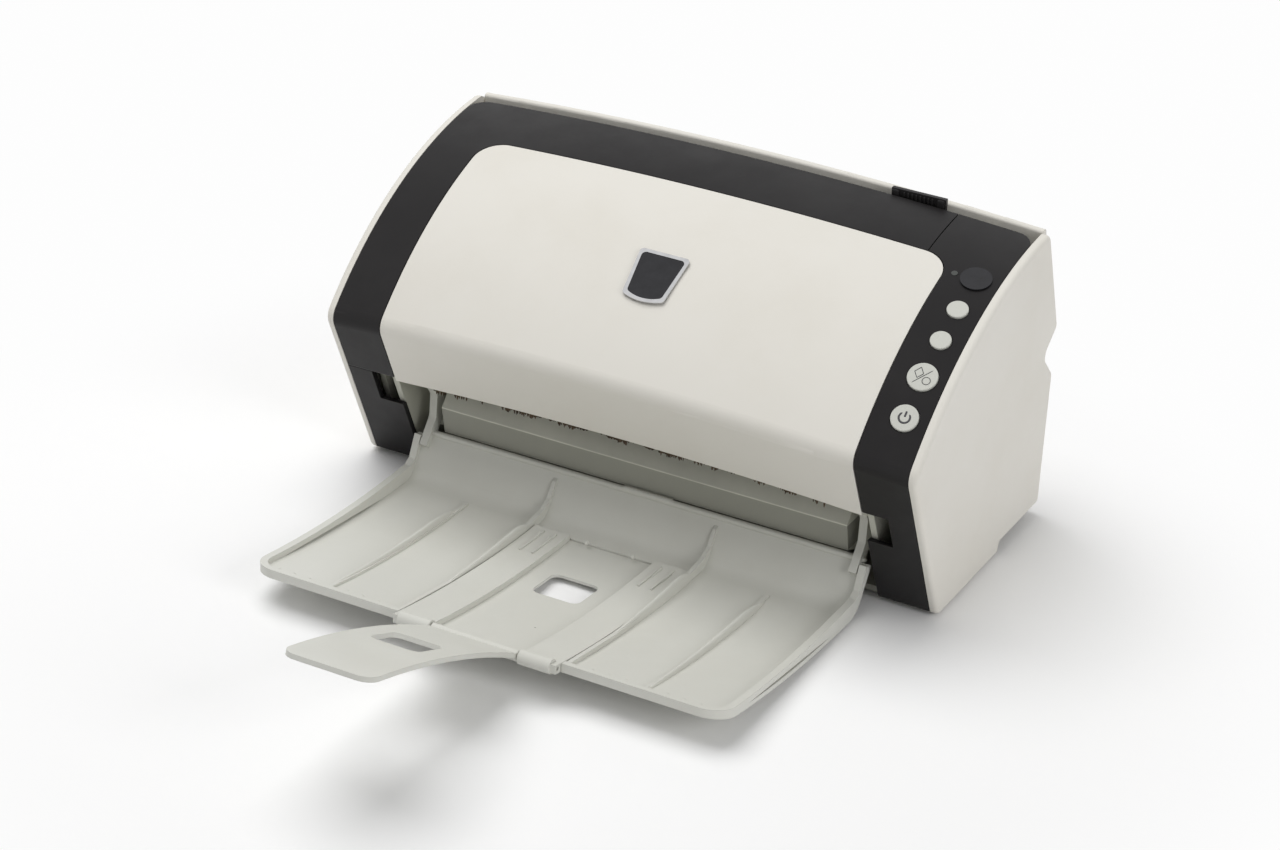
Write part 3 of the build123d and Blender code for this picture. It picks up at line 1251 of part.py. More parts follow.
# Tongue: a bowed flap that folds back over into the leaf's recess
def tongue_point(along, off):
    """Body (y, z) at a distance along the chord from the hinge, off the bowed middle surface."""
    sink = sqrt(TONGUE_RADIUS**2 - TONGUE_CHORD**2 / 4)
    bow = sqrt(TONGUE_RADIUS**2 - (along - TONGUE_CHORD / 2) ** 2) - sink + off
    c = cos(radians(TONGUE_RISE))
    n = sin(radians(TONGUE_RISE))
    return (TONGUE_HINGE[0] - along * c + bow * n, TONGUE_HINGE[1] + along * n + bow * c)


with BuildPart() as tongue:
    half = TONGUE_THICKNESS / 2
    centre = TONGUE_CHORD / 2
    past = TONGUE_CHORD + 3
    with BuildSketch(side_plane(-TONGUE_HALF_WIDTH - 2)):
        with BuildLine():
            ThreePointArc(tongue_point(0, half), tongue_point(centre, half), tongue_point(past, half))
            Line(tongue_point(past, half), tongue_point(past, -half))
            ThreePointArc(tongue_point(past, -half), tongue_point(centre, -half), tongue_point(0, -half))
            Line(tongue_point(0, -half), tongue_point(0, half))
        make_face()
    extrude(amount=2 * TONGUE_HALF_WIDTH + 4)
    chord_plane = Plane(
        origin=(0, TONGUE_HINGE[0] + SHIFT, TONGUE_HINGE[1]),
        x_dir=(1, 0, 0),
        z_dir=(0, sin(radians(TONGUE_RISE)), cos(radians(TONGUE_RISE))),
    )
    with BuildSketch(chord_plane.offset(-20)):
        with Locations((0, 1 - centre)):
            Rectangle(2 * TONGUE_HALF_WIDTH, TONGUE_CHORD + 2)
        fillet(vertices().group_by(Axis.Y)[0], TONGUE_CORNER)
        with Locations((0, -TONGUE_WINDOW_AT)):
            RectangleRounded(TONGUE_WINDOW[0], TONGUE_WINDOW[1], 4, mode=Mode.SUBTRACT)
    extrude(amount=40, mode=Mode.INTERSECT)
    with BuildSketch(side_plane(-TONGUE_HALF_WIDTH)):
        with Locations(TONGUE_HINGE):
            Circle(TONGUE_BARREL_RADIUS)
    extrude(amount=2 * TONGUE_HALF_WIDTH)
    with BuildSketch(side_plane(-TONGUE_HALF_WIDTH - 1)):
        with Locations(TONGUE_HINGE):
            Circle(TONGUE_PIN_RADIUS + RUNNING_GAP)
    extrude(amount=2 * TONGUE_HALF_WIDTH + 2, mode=Mode.SUBTRACT)
finish(tongue, "tongue")

# Hinge pins, shared by the cover and the tray
for name, x in (("hinge_pin_right", HINGE_PIN_IN), ("hinge_pin_left", -OUTER_WALL_X - WALL_THICKNESS)):
    with BuildPart() as pin:
        with BuildSketch(side_plane(x)):
            with Locations(HINGE):
                Circle(HINGE_PIN_RADIUS)
        extrude(amount=OUTER_WALL_X + WALL_THICKNESS - HINGE_PIN_IN)
    finish(pin, name)

# Rubber feet
for name, y, height in (
    ("front_feet", FRONT_FOOT_Y, TABLE_GAP),
    ("rear_feet", REAR_FOOT_Y, REAR_FOOT[1] + 0.5),
):
    with BuildPart() as feet:
        with BuildSketch(plan_plane(0)):
            with Locations((-FOOT_X, y), (FOOT_X, y)):
                Circle(FOOT_RADIUS)
        extrude(amount=height)
    finish(feet, name)

# Main board with its two sockets at the back
with BuildPart() as main_board:
    with BuildSketch(plan_plane(MAIN_BOARD_HEIGHT)):
        with Locations(MAIN_BOARD_AT):
            Rectangle(*MAIN_BOARD)
    extrude(amount=BOARD_THICKNESS)
finish(main_board, "main_board")

SOCKET_REAR = BODY_REAR - 1.6
BOARD_TOP = MAIN_BOARD_HEIGHT + BOARD_THICKNESS

with BuildPart() as data_socket:
    with BuildSketch(plan_plane(BOARD_TOP)):
        with Locations((DATA_SOCKET_X, SOCKET_REAR)):
            Rectangle(DATA_SOCKET[0], SOCKET_DEPTH, align=(Align.CENTER, Align.MAX))
    extrude(amount=DATA_SOCKET[1])
    with BuildSketch(Plane.XZ.offset(-SOCKET_REAR - SHIFT - 1)):
        with Locations((DATA_SOCKET_X, BOARD_TOP + DATA_SOCKET[1] / 2)):
            Rectangle(*DATA_MOUTH)
        with Locations((DATA_SOCKET_X, BOARD_TOP + DATA_SOCKET[1] / 2 + DATA_TONGUE_RISE)):
            Rectangle(*DATA_TONGUE, mode=Mode.SUBTRACT)
    extrude(amount=10, mode=Mode.SUBTRACT)
finish(data_socket, "data_socket")

with BuildPart() as power_inlet:
    with BuildSketch(plan_plane(BOARD_TOP)):
        with Locations((POWER_SOCKET_X, SOCKET_REAR)):
            Rectangle(POWER_SOCKET[0], SOCKET_DEPTH, align=(Align.CENTER, Align.MAX))
    extrude(amount=POWER_SOCKET[1])
    with BuildSketch(Plane.XZ.offset(-SOCKET_REAR - SHIFT - 1)):
        with Locations((POWER_SOCKET_X, BOARD_TOP + POWER_SOCKET[1] / 2)):
            Circle(POWER_BORE_RADIUS)
            Circle(POWER_PIN_RADIUS, mode=Mode.SUBTRACT)
    extrude(amount=10, mode=Mode.SUBTRACT)
finish(power_inlet, "power_inlet")
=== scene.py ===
"""Looks of a desktop document scanner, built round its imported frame. Lengths are in metres."""

import json
from math import cos, radians, sin

import bmesh
import bpy
import numpy as np
from mathutils import Matrix, Vector


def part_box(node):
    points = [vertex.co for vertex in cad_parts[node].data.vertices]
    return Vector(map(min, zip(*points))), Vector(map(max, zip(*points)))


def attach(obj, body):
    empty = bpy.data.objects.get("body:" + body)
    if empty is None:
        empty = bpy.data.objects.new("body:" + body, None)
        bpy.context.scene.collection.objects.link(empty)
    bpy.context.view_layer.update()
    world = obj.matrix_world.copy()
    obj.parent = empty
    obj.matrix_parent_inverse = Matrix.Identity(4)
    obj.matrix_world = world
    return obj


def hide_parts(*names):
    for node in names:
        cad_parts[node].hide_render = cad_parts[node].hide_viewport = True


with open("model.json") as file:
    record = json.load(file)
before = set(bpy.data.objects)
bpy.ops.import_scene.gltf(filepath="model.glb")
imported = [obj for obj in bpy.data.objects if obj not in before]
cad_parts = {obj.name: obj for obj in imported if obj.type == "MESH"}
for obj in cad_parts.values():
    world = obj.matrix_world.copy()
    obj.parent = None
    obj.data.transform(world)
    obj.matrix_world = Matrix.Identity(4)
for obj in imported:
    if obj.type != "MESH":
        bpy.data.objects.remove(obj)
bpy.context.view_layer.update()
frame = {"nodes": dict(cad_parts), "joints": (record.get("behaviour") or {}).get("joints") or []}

bl_info = {
    "name": "Document scanner looks",
    "version": (1, 0, 0),
    "blender": (4, 5, 0),
    "location": "View3D > Sidebar > Scanner",
    "description": "Finishes and small moulded details of a desktop document scanner",
    "category": "Object",
}

# From the middle of the base to the middle of the whole object, along y
SHIFT = 0.1156347

# CAD nodes by the finish they take
FINISHES = {
    "shell": ("cover_panel", "side_cover_left", "side_cover_right", "top_cover", "rear_cover"),
    "band": ("cover_trim", "operator_panel", "lower_trim_left", "latch_lever"),
    "tray": ("tray", "tray_leaf", "tongue", "latch_hook_left", "latch_hook_right"),
    "inner": (
        "base_frame",
        "cover_frame",
        "lower_guide",
        "lower_image_unit",
        "upper_image_unit",
        "pad_holder",
    ),
    "guide": ("exit_guide",),
    "key": ("power_button", "scan_button", "send_button", "function_button"),
    "chrome": ("badge_rim",),
    "smoked": ("badge_plate", "panel_window"),
    "lens": ("led_lens",),
    "glass": ("lower_glass", "upper_glass"),
    "rubber": (
        "feed_tyres",
        "eject_tyres",
        "pick_tyres",
        "separation_pad",
        "drive_belt",
        "front_feet",
        "rear_feet",
    ),
    "wheel": (
        "feed_idler_wheels",
        "eject_idler_wheels",
        "feed_pulley",
        "eject_pulley",
        "pick_pulley",
        "motor_pulley",
    ),
    "socket": ("data_socket", "power_inlet"),
    "steel": (
        "feed_shaft",
        "eject_shaft",
        "pick_shaft",
        "feed_idler_axle",
        "eject_idler_axle",
        "latch_shaft",
        "motor_shaft",
        "drive_motor",
        "hinge_pin_left",
        "hinge_pin_right",
        "tongue_pin",
    ),
    "board": ("main_board", "button_board"),
}

# Printed marks on the keys
GLYPH_STROKE = 0.00034
GLYPH_HEIGHT = 0.00016
POWER_STROKE = GLYPH_STROKE * 2.8

# Curved floor of the tray, and what is moulded on it, in the body's own y
FLOOR_RADIUS = 0.63
FLOOR_CENTRE = (-0.05637, 0.63319)
FIN_X = 0.0798
FIN_BACK = -0.072
FIN_FRONT = -0.1845
FIN_RISE = 0.0050
FIN_HALF_WIDTH = 0.0014
CREST_X = 0.0422
CREST_BACK = -0.068
CREST_FRONT = -0.150
CREST_RISE = 0.0080
CREST_HALF_WIDTH = 0.0015
NUB_Y = -0.1836
NUB_HALF = (0.0013, 0.0020, 0.0016)
NUB_STEPS = (-0.027, -0.019, -0.011, 0.009, 0.017, 0.025)

# Every fin: share of its length that the climb takes, how much it fades, and how far it sinks in
FIN_CLIMB = 0.24
FIN_FADE = 0.72
FIN_SINK = 0.0008

# Bar along the tray's back edge, with a raised step near its middle
BACK_EDGE = (-0.0463, 0.0226)
BACK_HALF = (0.0015, 0.0013)
BACK_REACH = 0.1165
BACK_POINTS = 240
STEP_X = 0.005
STEP_HALF_WIDTH = 0.013
STEP_RISE = 0.0006

# Small stops on the middle leaf, each with its x and its back end, and two knobs beside them
LEAF_RISE = 0.002
STOPS = ((-0.0345, -0.0745), (-0.0285, -0.0765), (0.0285, -0.0745), (0.0345, -0.0765))
STOP_LENGTH = 0.011
STOP_RISE = 0.0013
STOP_HALF_WIDTH = 0.0006
STOP_ROWS = 24
KNOB_X = 0.012
KNOB_Y = -0.0725
KNOB_HALF = (0.0009, 0.0016, 0.0012)

# Painted shade on the exit guide's recessed front and painted light on the rest of it: middle height, half
# sizes, corner, blur and the tones of the painted light and the painted shade
GUIDE_MIDDLE = 0.0307
GUIDE_HALF = (0.1165, 0.0067)
GUIDE_CORNER = 0.004
GUIDE_BLUR = 0.0002
GUIDE_PAINTED_LIGHT = 1.35
GUIDE_PAINTED_SHADE = 0.65

# Front face and middle height of the lever's thumb tab, in the body's own y, and its grip
LEVER_FACE = (0.0495, 0.1562)
RIDGE_COUNT = 8
RIDGE_INSET = 0.0065
RIDGE_HALF = (0.0005, 0.0006, 0.0018)
PAD_INSET = 0.0022
PAD_HALF = (0.0018, 0.0011, 0.0022)

# Lower lip of the cover panel, crowned across the width, in the body's own y
LIP_EDGE = (-0.0653, 0.060)
LIP_HALF_WIDTH = 0.106
CROWN_RADIUS = 1.63
CROWN_TILT = radians(69.0)

# Worn strips: points along each, window of the slow noise, and how far the crumbs tuck in and hang
STRIP_POINTS = 900
NOISE_WINDOW = 25
FRINGE_SHARE = 0.4
CRUMB_TUCK = 0.0012
CRUMB_REACH = 0.0042
CRUMB_HALF_DEPTH = 0.0007

# Floor's half size, where it starts and ends its fade, and the even white round the object
FLOOR_HALF = 14.0
FADE_START = 0.22
FADE_END = 0.37
EVEN_WHITE = (0.985, 0.985, 0.985, 1.0)

# Each lamp's place, target and size
OVERHEAD = ((-0.55, 0.1, 1.7), (0.0, 0.0, 0.05), 1.5)
SIDE_FILL = ((2.3, -0.6, 1.1), (0.0, 0.0, 0.08), 1.2)

# Camera's azimuth, elevation and roll in degrees, its distance and its target
CAMERA_ANGLES = (27.77, 27.91, 2.11)
CAMERA_DISTANCE = 1.62448
CAMERA_TARGET = (-0.0249, SHIFT, 0.03039)
SENSOR_WIDTH = 36.0


# Shapes worked out with numpy


def build_mesh(name, grids, closed=(True, True)):
    """One mesh from grids of points; each grid wraps along the directions that are closed."""
    points = []
    faces = []
    start = 0
    for grid in grids:
        rows, columns = grid.shape[:2]
        row = np.arange(rows if closed[0] else rows - 1)
        column = np.arange(columns if closed[1] else columns - 1)
        i, j = np.meshgrid(row, column, indexing="ij")
        below = (i + 1) % rows
        beside = (j + 1) % columns
        corners = (i * columns + j, below * columns + j, below * columns + beside, i * columns + beside)
        faces.append(np.stack(corners, axis=-1).reshape(-1, 4) + start)
        points.append(grid.reshape(-1, 3))
        start += rows * columns
    mesh = bpy.data.meshes.new(name)
    mesh.from_pydata(np.concatenate(points).tolist(), [], np.concatenate(faces).tolist())
    solid = bmesh.new()
    solid.from_mesh(mesh)
    bmesh.ops.remove_doubles(solid, verts=solid.verts, dist=1e-7)
    bmesh.ops.recalc_face_normals(solid, faces=solid.faces)
    solid.to_mesh(mesh)
    solid.free()
    mesh.polygons.foreach_set("use_smooth", [True] * len(mesh.polygons))
    return mesh


def add_piece(name, mesh, material, body):
    """A finished piece in the scene, on its body and with its material."""
    piece = bpy.data.objects.new(name, mesh)
    bpy.context.scene.collection.objects.link(piece)
    mesh.materials.append(bpy.data.materials[material])
    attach(piece, body)
    return piece


def add_grids(name, grids, material, body, slot):
    """A piece from grids that are open along their rows and closed round their sections."""
    return add_piece(name, build_mesh(name, grids, (False, True)), material, body)


def signed_power(values, power):
    """Each value's size to a power, with its sign kept."""
    return np.sign(values) * np.abs(values) ** power


def rounded_block(centre, half, squareness=0.35, rows=13, columns=24):
    """Superellipsoid: cosines and sines of latitude and longitude to a small power, times the half sizes."""
    latitude = np.linspace(-np.pi / 2, np.pi / 2, rows)[:, None]
    longitude = np.linspace(0, 2 * np.pi, columns, endpoint=False)[None, :]
    round_in = signed_power(np.cos(latitude), squareness)
    x = half[0] * round_in * signed_power(np.cos(longitude), squareness)
    y = half[1] * round_in * signed_power(np.sin(longitude), squareness)
    z = half[2] * signed_power(np.sin(latitude), squareness) * np.ones_like(longitude)
    return np.stack((x, y, z), axis=-1) + np.array(centre)


def dome(centre, half, rows=9, columns=16):
    """Ellipsoid: latitude and longitude circles times the half sizes."""
    return rounded_block(centre, half, 1.0, rows, columns)


def stroke(path, closed, width, height, origin, across, up, out, sides=8):
    """Ellipse of the stroke's width and height carried along a flat path; open ends shrink to a point."""
    path = np.array(path, float)
    if closed:
        ahead = np.roll(path, -1, axis=0) - np.roll(path, 1, axis=0)
        taper = np.ones(len(path))
    else:
        ahead = np.gradient(path, axis=0)
        along = np.linspace(-1, 1, len(path))
        taper = np.sqrt(np.clip(1 - along**12, 0, 1))
    ahead /= np.linalg.norm(ahead, axis=1)[:, None]
    beside = np.stack((-ahead[:, 1], ahead[:, 0]), axis=1)
    turn = np.linspace(0, 2 * np.pi, sides, endpoint=False)
    sideways = np.cos(turn)[None, :] * taper[:, None] * width / 2
    lift = np.sin(turn)[None, :] * taper[:, None] * height
    flat = path[:, None, :] + beside[:, None, :] * sideways[..., None]
    return origin + flat[..., :1] * across + flat[..., 1:] * up + lift[..., None] * out


def floor_height(y):
    """Height of the tray's floor at the body's y: a circle under its centre."""
    return FLOOR_CENTRE[1] - np.sqrt(FLOOR_RADIUS**2 - (y - FLOOR_CENTRE[0]) ** 2)


def fin(x, back, front, rise, half_width, base=0.0, rows=72, sides=16):
    """Ellipse-like section along the floor; its height climbs fast from the back and fades in front."""
    along = np.linspace(0, 1, rows)
    y = back + (front - back) * along
    climb = np.sin(np.clip(along / FIN_CLIMB, 0, 1) * np.pi / 2)
    height = rise * climb * (1 - FIN_FADE * along) * np.sqrt(np.clip(1 - along**24, 0, 1))
    width = half_width * np.sqrt(np.clip(height / rise, 0, 1))
    turn = np.linspace(0, 2 * np.pi, sides, endpoint=False)
    lift = signed_power(np.sin(turn), 0.8)
    sink = np.minimum(height, FIN_SINK)
    over = np.where(lift > 0, lift * height[:, None], lift * sink[:, None])
    grid_x = x + width[:, None] * signed_power(np.cos(turn), 0.6)[None, :]
    grid_y = np.broadcast_to((y + SHIFT)[:, None], grid_x.shape)
    return np.stack((grid_x, grid_y, (floor_height(y) + base)[:, None] + over), axis=-1)


def rounded_bar(x, middle, half, step, sides=14):
    """Superellipse section along x, round at both ends, with its upper half raised by a step."""
    reach = np.abs(x).max()
    taper = np.sqrt(np.clip(1 - (np.abs(x) / reach) ** 80, 0, 1))
    turn = np.linspace(0, 2 * np.pi, sides, endpoint=False)
    depth = half[0] * taper[:, None] * signed_power(np.cos(turn), 0.7)[None, :]
    lift = taper[:, None] * signed_power(np.sin(turn), 0.7)[None, :]
    rise = np.where(lift > 0, half[1] + step[:, None], half[1]) * lift
    grid_x = np.broadcast_to(x[:, None], depth.shape)
    return np.stack((grid_x, middle[0] + depth, middle[1] + rise), axis=-1)


def torn_sizes(count, seed, cover):
    """What is left of a torn strip at each step, 0 to 1: fine noise over slow noise, gone at the ends."""
    random = np.random.default_rng(seed)
    fine = random.uniform(0.35, 1.0, count)
    window = np.ones(NOISE_WINDOW) / NOISE_WINDOW
    slow = np.convolve(random.uniform(0.0, 1.0, count + NOISE_WINDOW - 1), window, mode="valid")
    left = np.clip((slow - np.quantile(slow, 1 - cover)) * 14, 0.0, 1.0)
    along = np.linspace(0, 1, count)
    return left * fine * np.clip(np.minimum(along, 1 - along) * 90, 0.0, 1.0)


def torn_strip(x, y, top, size, reach, half_depth, sides=8):
    """Flattened loops hung from a line: each as deep and as thick as what is left there."""
    turn = np.linspace(0, 2 * np.pi, sides, endpoint=False)
    grid_x = np.broadcast_to(x[:, None], (len(x), sides))
    grid_y = y[:, None] + half_depth * np.sqrt(size)[:, None] * np.cos(turn)[None, :]
    grid_z = top[:, None] - reach * size[:, None] * (0.5 - 0.5 * np.sin(turn)[None, :])
    return np.stack((grid_x, grid_y, grid_z), axis=-1)


def ring_arc(radius, start, end, count=40, centre=(0.0, 0.0)):
    """Points on a circle between two angles in degrees."""
    turn = np.radians(np.linspace(start, end, count))
    return np.stack((centre[0] + radius * np.cos(turn), centre[1] + radius * np.sin(turn)), axis=1)


def straight(start, end, count=12):
    """Points evenly spaced between two flat points."""
    share = np.linspace(0, 1, count)[:, None]
    return np.array(start) * (1 - share) + np.array(end) * share


def polygon(corners, count=8):
    """Points evenly spaced round a closed outline."""
    ends = corners[1:] + corners[:1]
    return np.concatenate([straight(a, b, count + 1)[:-1] for a, b in zip(corners, ends)])


def key_face(node, joint):
    """Middle of a key's outer face, the directions across and up it, and the way it faces."""
    press = Vector(next(j["axis"] for j in frame["joints"] if j["name"] == joint)).normalized()
    out = np.array(-press)
    mesh = frame["nodes"][node].data
    points = np.empty(len(mesh.vertices) * 3)
    mesh.vertices.foreach_get("co", points)
    points = points.reshape(-1, 3)
    depth = points @ out
    face = points[depth > depth.max() - 1e-5]
    across = np.array((1.0, 0.0, 0.0))
    across -= out * (across @ out)
    across /= np.linalg.norm(across)
    up = np.cross(out, across)
    middle = (face.min(axis=0) + face.max(axis=0)) / 2
    return middle, across, up, out


# Materials


def node_tree_group(name, inputs, outputs):
    """A new shader group with number, colour or vector sockets, and its two end nodes."""
    kinds = {"number": "NodeSocketFloat", "colour": "NodeSocketColor", "vector": "NodeSocketVector"}
    group = bpy.data.node_groups.new(name, "ShaderNodeTree")
    for socket, kind in inputs:
        group.interface.new_socket(socket, in_out="INPUT", socket_type=kinds[kind])
    for socket, kind in outputs:
        group.interface.new_socket(socket, in_out="OUTPUT", socket_type=kinds[kind])
    return group, group.nodes.new("NodeGroupInput"), group.nodes.new("NodeGroupOutput")


def add_node(tree, kind, values=None, **settings):
    """A node with its settings and the values of its input sockets."""
    node = tree.nodes.new(kind)
    for key, value in settings.items():
        setattr(node, key, value)
    for key, value in (values or {}).items():
        node.inputs[key].default_value = value
    return node


def noise(tree, vector, scale, detail=3.0, roughness=0.5):
    """Noise texture read at a vector."""
    node = add_node(tree, "ShaderNodeTexNoise", {"Detail": detail, "Roughness": roughness})
    tree.links.new(vector, node.inputs["Vector"])
    if isinstance(scale, float):
        node.inputs["Scale"].default_value = scale
    else:
        tree.links.new(scale, node.inputs["Scale"])
    return node.outputs["Fac"]


def spread(tree, value, low, high, out_low=0.0, out_high=1.0):
    """Value mapped smoothly from one range to another and held at its ends."""
    limits = {"From Min": low, "From Max": high, "To Min": out_low, "To Max": out_high}
    node = add_node(tree, "ShaderNodeMapRange", limits, interpolation_type="SMOOTHSTEP")
    tree.links.new(value, node.inputs["Value"])
    return node.outputs["Result"]


def arithmetic(tree, operation, first, second):
    """One sum of two sockets or numbers."""
    node = add_node(tree, "ShaderNodeMath", operation=operation)
    for socket, value in zip(node.inputs, (first, second)):
        if isinstance(value, float):
            socket.default_value = value
        else:
            tree.links.new(value, socket)
    return node.outputs[0]


def mix_colour(tree, share, first, second):
    """Two colours mixed by a share; the node's colour sockets are inputs 6 and 7 and output 2."""
    node = add_node(tree, "ShaderNodeMix", data_type="RGBA")
    sockets = (node.inputs["Factor"], node.inputs[6], node.inputs[7])
    for socket, value in zip(sockets, (share, first, second)):
        if isinstance(value, (tuple, float)):
            socket.default_value = value
        else:
            tree.links.new(value, socket)
    return node.outputs[2]


def make_grain_group():
    """Spark-eroded mould texture: fine noise and coarser cells, as a height."""
    inputs = (("Vector", "vector"), ("Scale", "number"), ("Coarse", "number"))
    group, start, end = node_tree_group("mould_grain", inputs, (("Height", "number"),))
    fine = noise(group, start.outputs["Vector"], start.outputs["Scale"], 2.0, 0.6)
    cells = add_node(group, "ShaderNodeTexVoronoi", feature="SMOOTH_F1")
    group.links.new(start.outputs["Vector"], cells.inputs["Vector"])
    group.links.new(start.outputs["Coarse"], cells.inputs["Scale"])
    coarse = arithmetic(group, "MULTIPLY", cells.outputs["Distance"], 0.5)
    group.links.new(arithmetic(group, "ADD", coarse, fine), end.inputs["Height"])


def make_age_group():
    """Handling marks: soft cloudy soiling, sparse specks and rubbed patches."""
    inputs = (
        ("Vector", "vector"),
        ("Clean", "colour"),
        ("Soiled", "colour"),
        ("Cloud", "number"),
        ("Specks", "number"),
        ("Polish", "number"),
    )
    outputs = (("Colour", "colour"), ("Roughness", "number"))
    group, start, end = node_tree_group("handling", inputs, outputs)
    vector = start.outputs["Vector"]
    cloud = spread(group, noise(group, vector, 14.0, 6.0, 0.62), 0.36, 0.74)
    cloud = arithmetic(group, "MULTIPLY", cloud, start.outputs["Cloud"])
    spots = add_node(group, "ShaderNodeTexVoronoi", {"Scale": 38.0, "Randomness": 1.0})
    group.links.new(vector, spots.inputs["Vector"])
    size = spread(group, noise(group, vector, 9.0, 2.0), 0.55, 0.8, 0.0, 0.034)
    speck = arithmetic(group, "LESS_THAN", spots.outputs["Distance"], size)
    speck = arithmetic(group, "MULTIPLY", speck, start.outputs["Specks"])
    colour = mix_colour(group, cloud, start.outputs["Clean"], start.outputs["Soiled"])
    colour = mix_colour(group, speck, colour, (0.06, 0.045, 0.03, 1.0))
    group.links.new(colour, end.inputs["Colour"])
    rubbed = spread(group, noise(group, vector, 30.0, 5.0, 0.7), 0.3, 0.75, -0.06, 0.07)
    group.links.new(arithmetic(group, "ADD", start.outputs["Polish"], rubbed), end.inputs["Roughness"])


def new_material(name):
    """A material with its shader and the object's own coordinates."""
    material = bpy.data.materials.new(name)
    material.use_nodes = True
    tree = material.node_tree
    shader = tree.nodes["Principled BSDF"]
    place = tree.nodes.new("ShaderNodeTexCoord").outputs["Object"]
    return material, tree, shader, place


def link_bump(tree, shader, height, strength, distance, edge=0.0):
    """Height into the shader's normal, over edges that are softly rounded."""
    bump = add_node(tree, "ShaderNodeBump", {"Strength": strength, "Distance": distance})
    tree.links.new(height, bump.inputs["Height"])
    if edge:
        corner = add_node(tree, "ShaderNodeBevel", {"Radius": edge}, samples=6)
        tree.links.new(corner.outputs["Normal"], bump.inputs["Normal"])
    tree.links.new(bump.outputs["Normal"], shader.inputs["Normal"])


def moulded_plastic(
    name, clean, soiled, polish, cloud, specks, grain=(1900.0, 700.0), depth=0.00003, edge=0.0004
):
    """Moulded plastic with mould grain, soft edges and signs of handling."""
    material, tree, shader, place = new_material(name)
    age = tree.nodes.new("ShaderNodeGroup")
    age.node_tree = bpy.data.node_groups["handling"]
    tree.links.new(place, age.inputs["Vector"])
    age.inputs["Clean"].default_value = (*clean, 1.0)
    age.inputs["Soiled"].default_value = (*soiled, 1.0)
    age.inputs["Cloud"].default_value = cloud
    age.inputs["Specks"].default_value = specks
    age.inputs["Polish"].default_value = polish
    tree.links.new(age.outputs["Colour"], shader.inputs["Base Color"])
    tree.links.new(age.outputs["Roughness"], shader.inputs["Roughness"])
    texture = tree.nodes.new("ShaderNodeGroup")
    texture.node_tree = bpy.data.node_groups["mould_grain"]
    tree.links.new(place, texture.inputs["Vector"])
    texture.inputs["Scale"].default_value = grain[0]
    texture.inputs["Coarse"].default_value = grain[1]
    link_bump(tree, shader, texture.outputs["Height"], 0.35, depth, edge)
    return material, tree, shader, place


def make_guide(light, dark):
    """The exit guide: lightened all over by painted light, with a panel of painted shade on its recessed
    front that is round at its corners.
    """
    material, tree, _, place = moulded_plastic("guide_moulding", light, dark, 0.55, 0.3, 0.6)
    vector = place
    # Rounded panel of painted shade on the recessed front face; the rest of the guide takes painted light
    steps = (
        ("SUBTRACT", (0.0, 0.0, GUIDE_MIDDLE)),
        ("ABSOLUTE", None),
        ("SUBTRACT", (GUIDE_HALF[0] - GUIDE_CORNER, 10.0, GUIDE_HALF[1] - GUIDE_CORNER)),
        ("MAXIMUM", (0.0, 0.0, 0.0)),
        ("LENGTH", None),
    )
    for operation, value in steps:
        node = add_node(tree, "ShaderNodeVectorMath", operation=operation)
        tree.links.new(vector, node.inputs[0])
        if value:
            node.inputs[1].default_value = value
        vector = node.outputs["Value"] if operation == "LENGTH" else node.outputs["Vector"]
    # Mask of the painted shade: 1 on the recessed front, 0 where the painted light goes
    recess_shade_mask = spread(tree, vector, GUIDE_CORNER - GUIDE_BLUR, GUIDE_CORNER + GUIDE_BLUR, 1.0, 0.0)
    groups = [node for node in tree.nodes if node.type == "GROUP"]
    age = next(node for node in groups if node.node_tree.name == "handling")
    tree.links.new(mix_colour(tree, recess_shade_mask, (*light, 1.0), (*dark, 1.0)), age.inputs["Clean"])
    return material


def make_steel():
    """Ground steel: fine lines round the shafts, which lie along x, and a little tarnish."""
    material, tree, shader, place = new_material("ground_steel")
    stretch = add_node(tree, "ShaderNodeMapping")
    stretch.inputs["Scale"].default_value = (2600.0, 40.0, 40.0)
    tree.links.new(place, stretch.inputs["Vector"])
    lines = noise(tree, stretch.outputs["Vector"], 1.0, 2.0)
    stain = spread(tree, noise(tree, place, 60.0, 4.0), 0.4, 0.8)
    colour = mix_colour(tree, stain, (0.56, 0.56, 0.57, 1.0), (0.42, 0.41, 0.4, 1.0))
    tree.links.new(colour, shader.inputs["Base Color"])
    shader.inputs["Metallic"].default_value = 1.0
    tree.links.new(spread(tree, lines, 0.3, 0.7, 0.22, 0.4), shader.inputs["Roughness"])
    link_bump(tree, shader, lines, 0.2, 0.00002)


def make_chrome():
    """Bright plating with faint wipe marks."""
    material, tree, shader, place = new_material("bright_plating")
    shader.inputs["Metallic"].default_value = 1.0
    haze = noise(tree, place, 220.0, 4.0)
    colour = mix_colour(tree, haze, (0.70, 0.70, 0.71, 1.0), (0.46, 0.46, 0.47, 1.0))
    tree.links.new(colour, shader.inputs["Base Color"])
    tree.links.new(spread(tree, haze, 0.3, 0.7, 0.07, 0.16), shader.inputs["Roughness"])
    link_bump(tree, shader, haze, 0.05, 0.00002, 0.0003)


def make_glass():
    """Flat scanning glass with faint streaks left by paper."""
    material, tree, shader, place = new_material("scan_glass")
    shader.inputs["Base Color"].default_value = (0.82, 0.88, 0.87, 1.0)
    shader.inputs["Transmission Weight"].default_value = 0.85
    shader.inputs["IOR"].default_value = 1.5
    streaks = noise(tree, place, 90.0, 4.0)
    tree.links.new(spread(tree, streaks, 0.3, 0.8, 0.03, 0.14), shader.inputs["Roughness"])


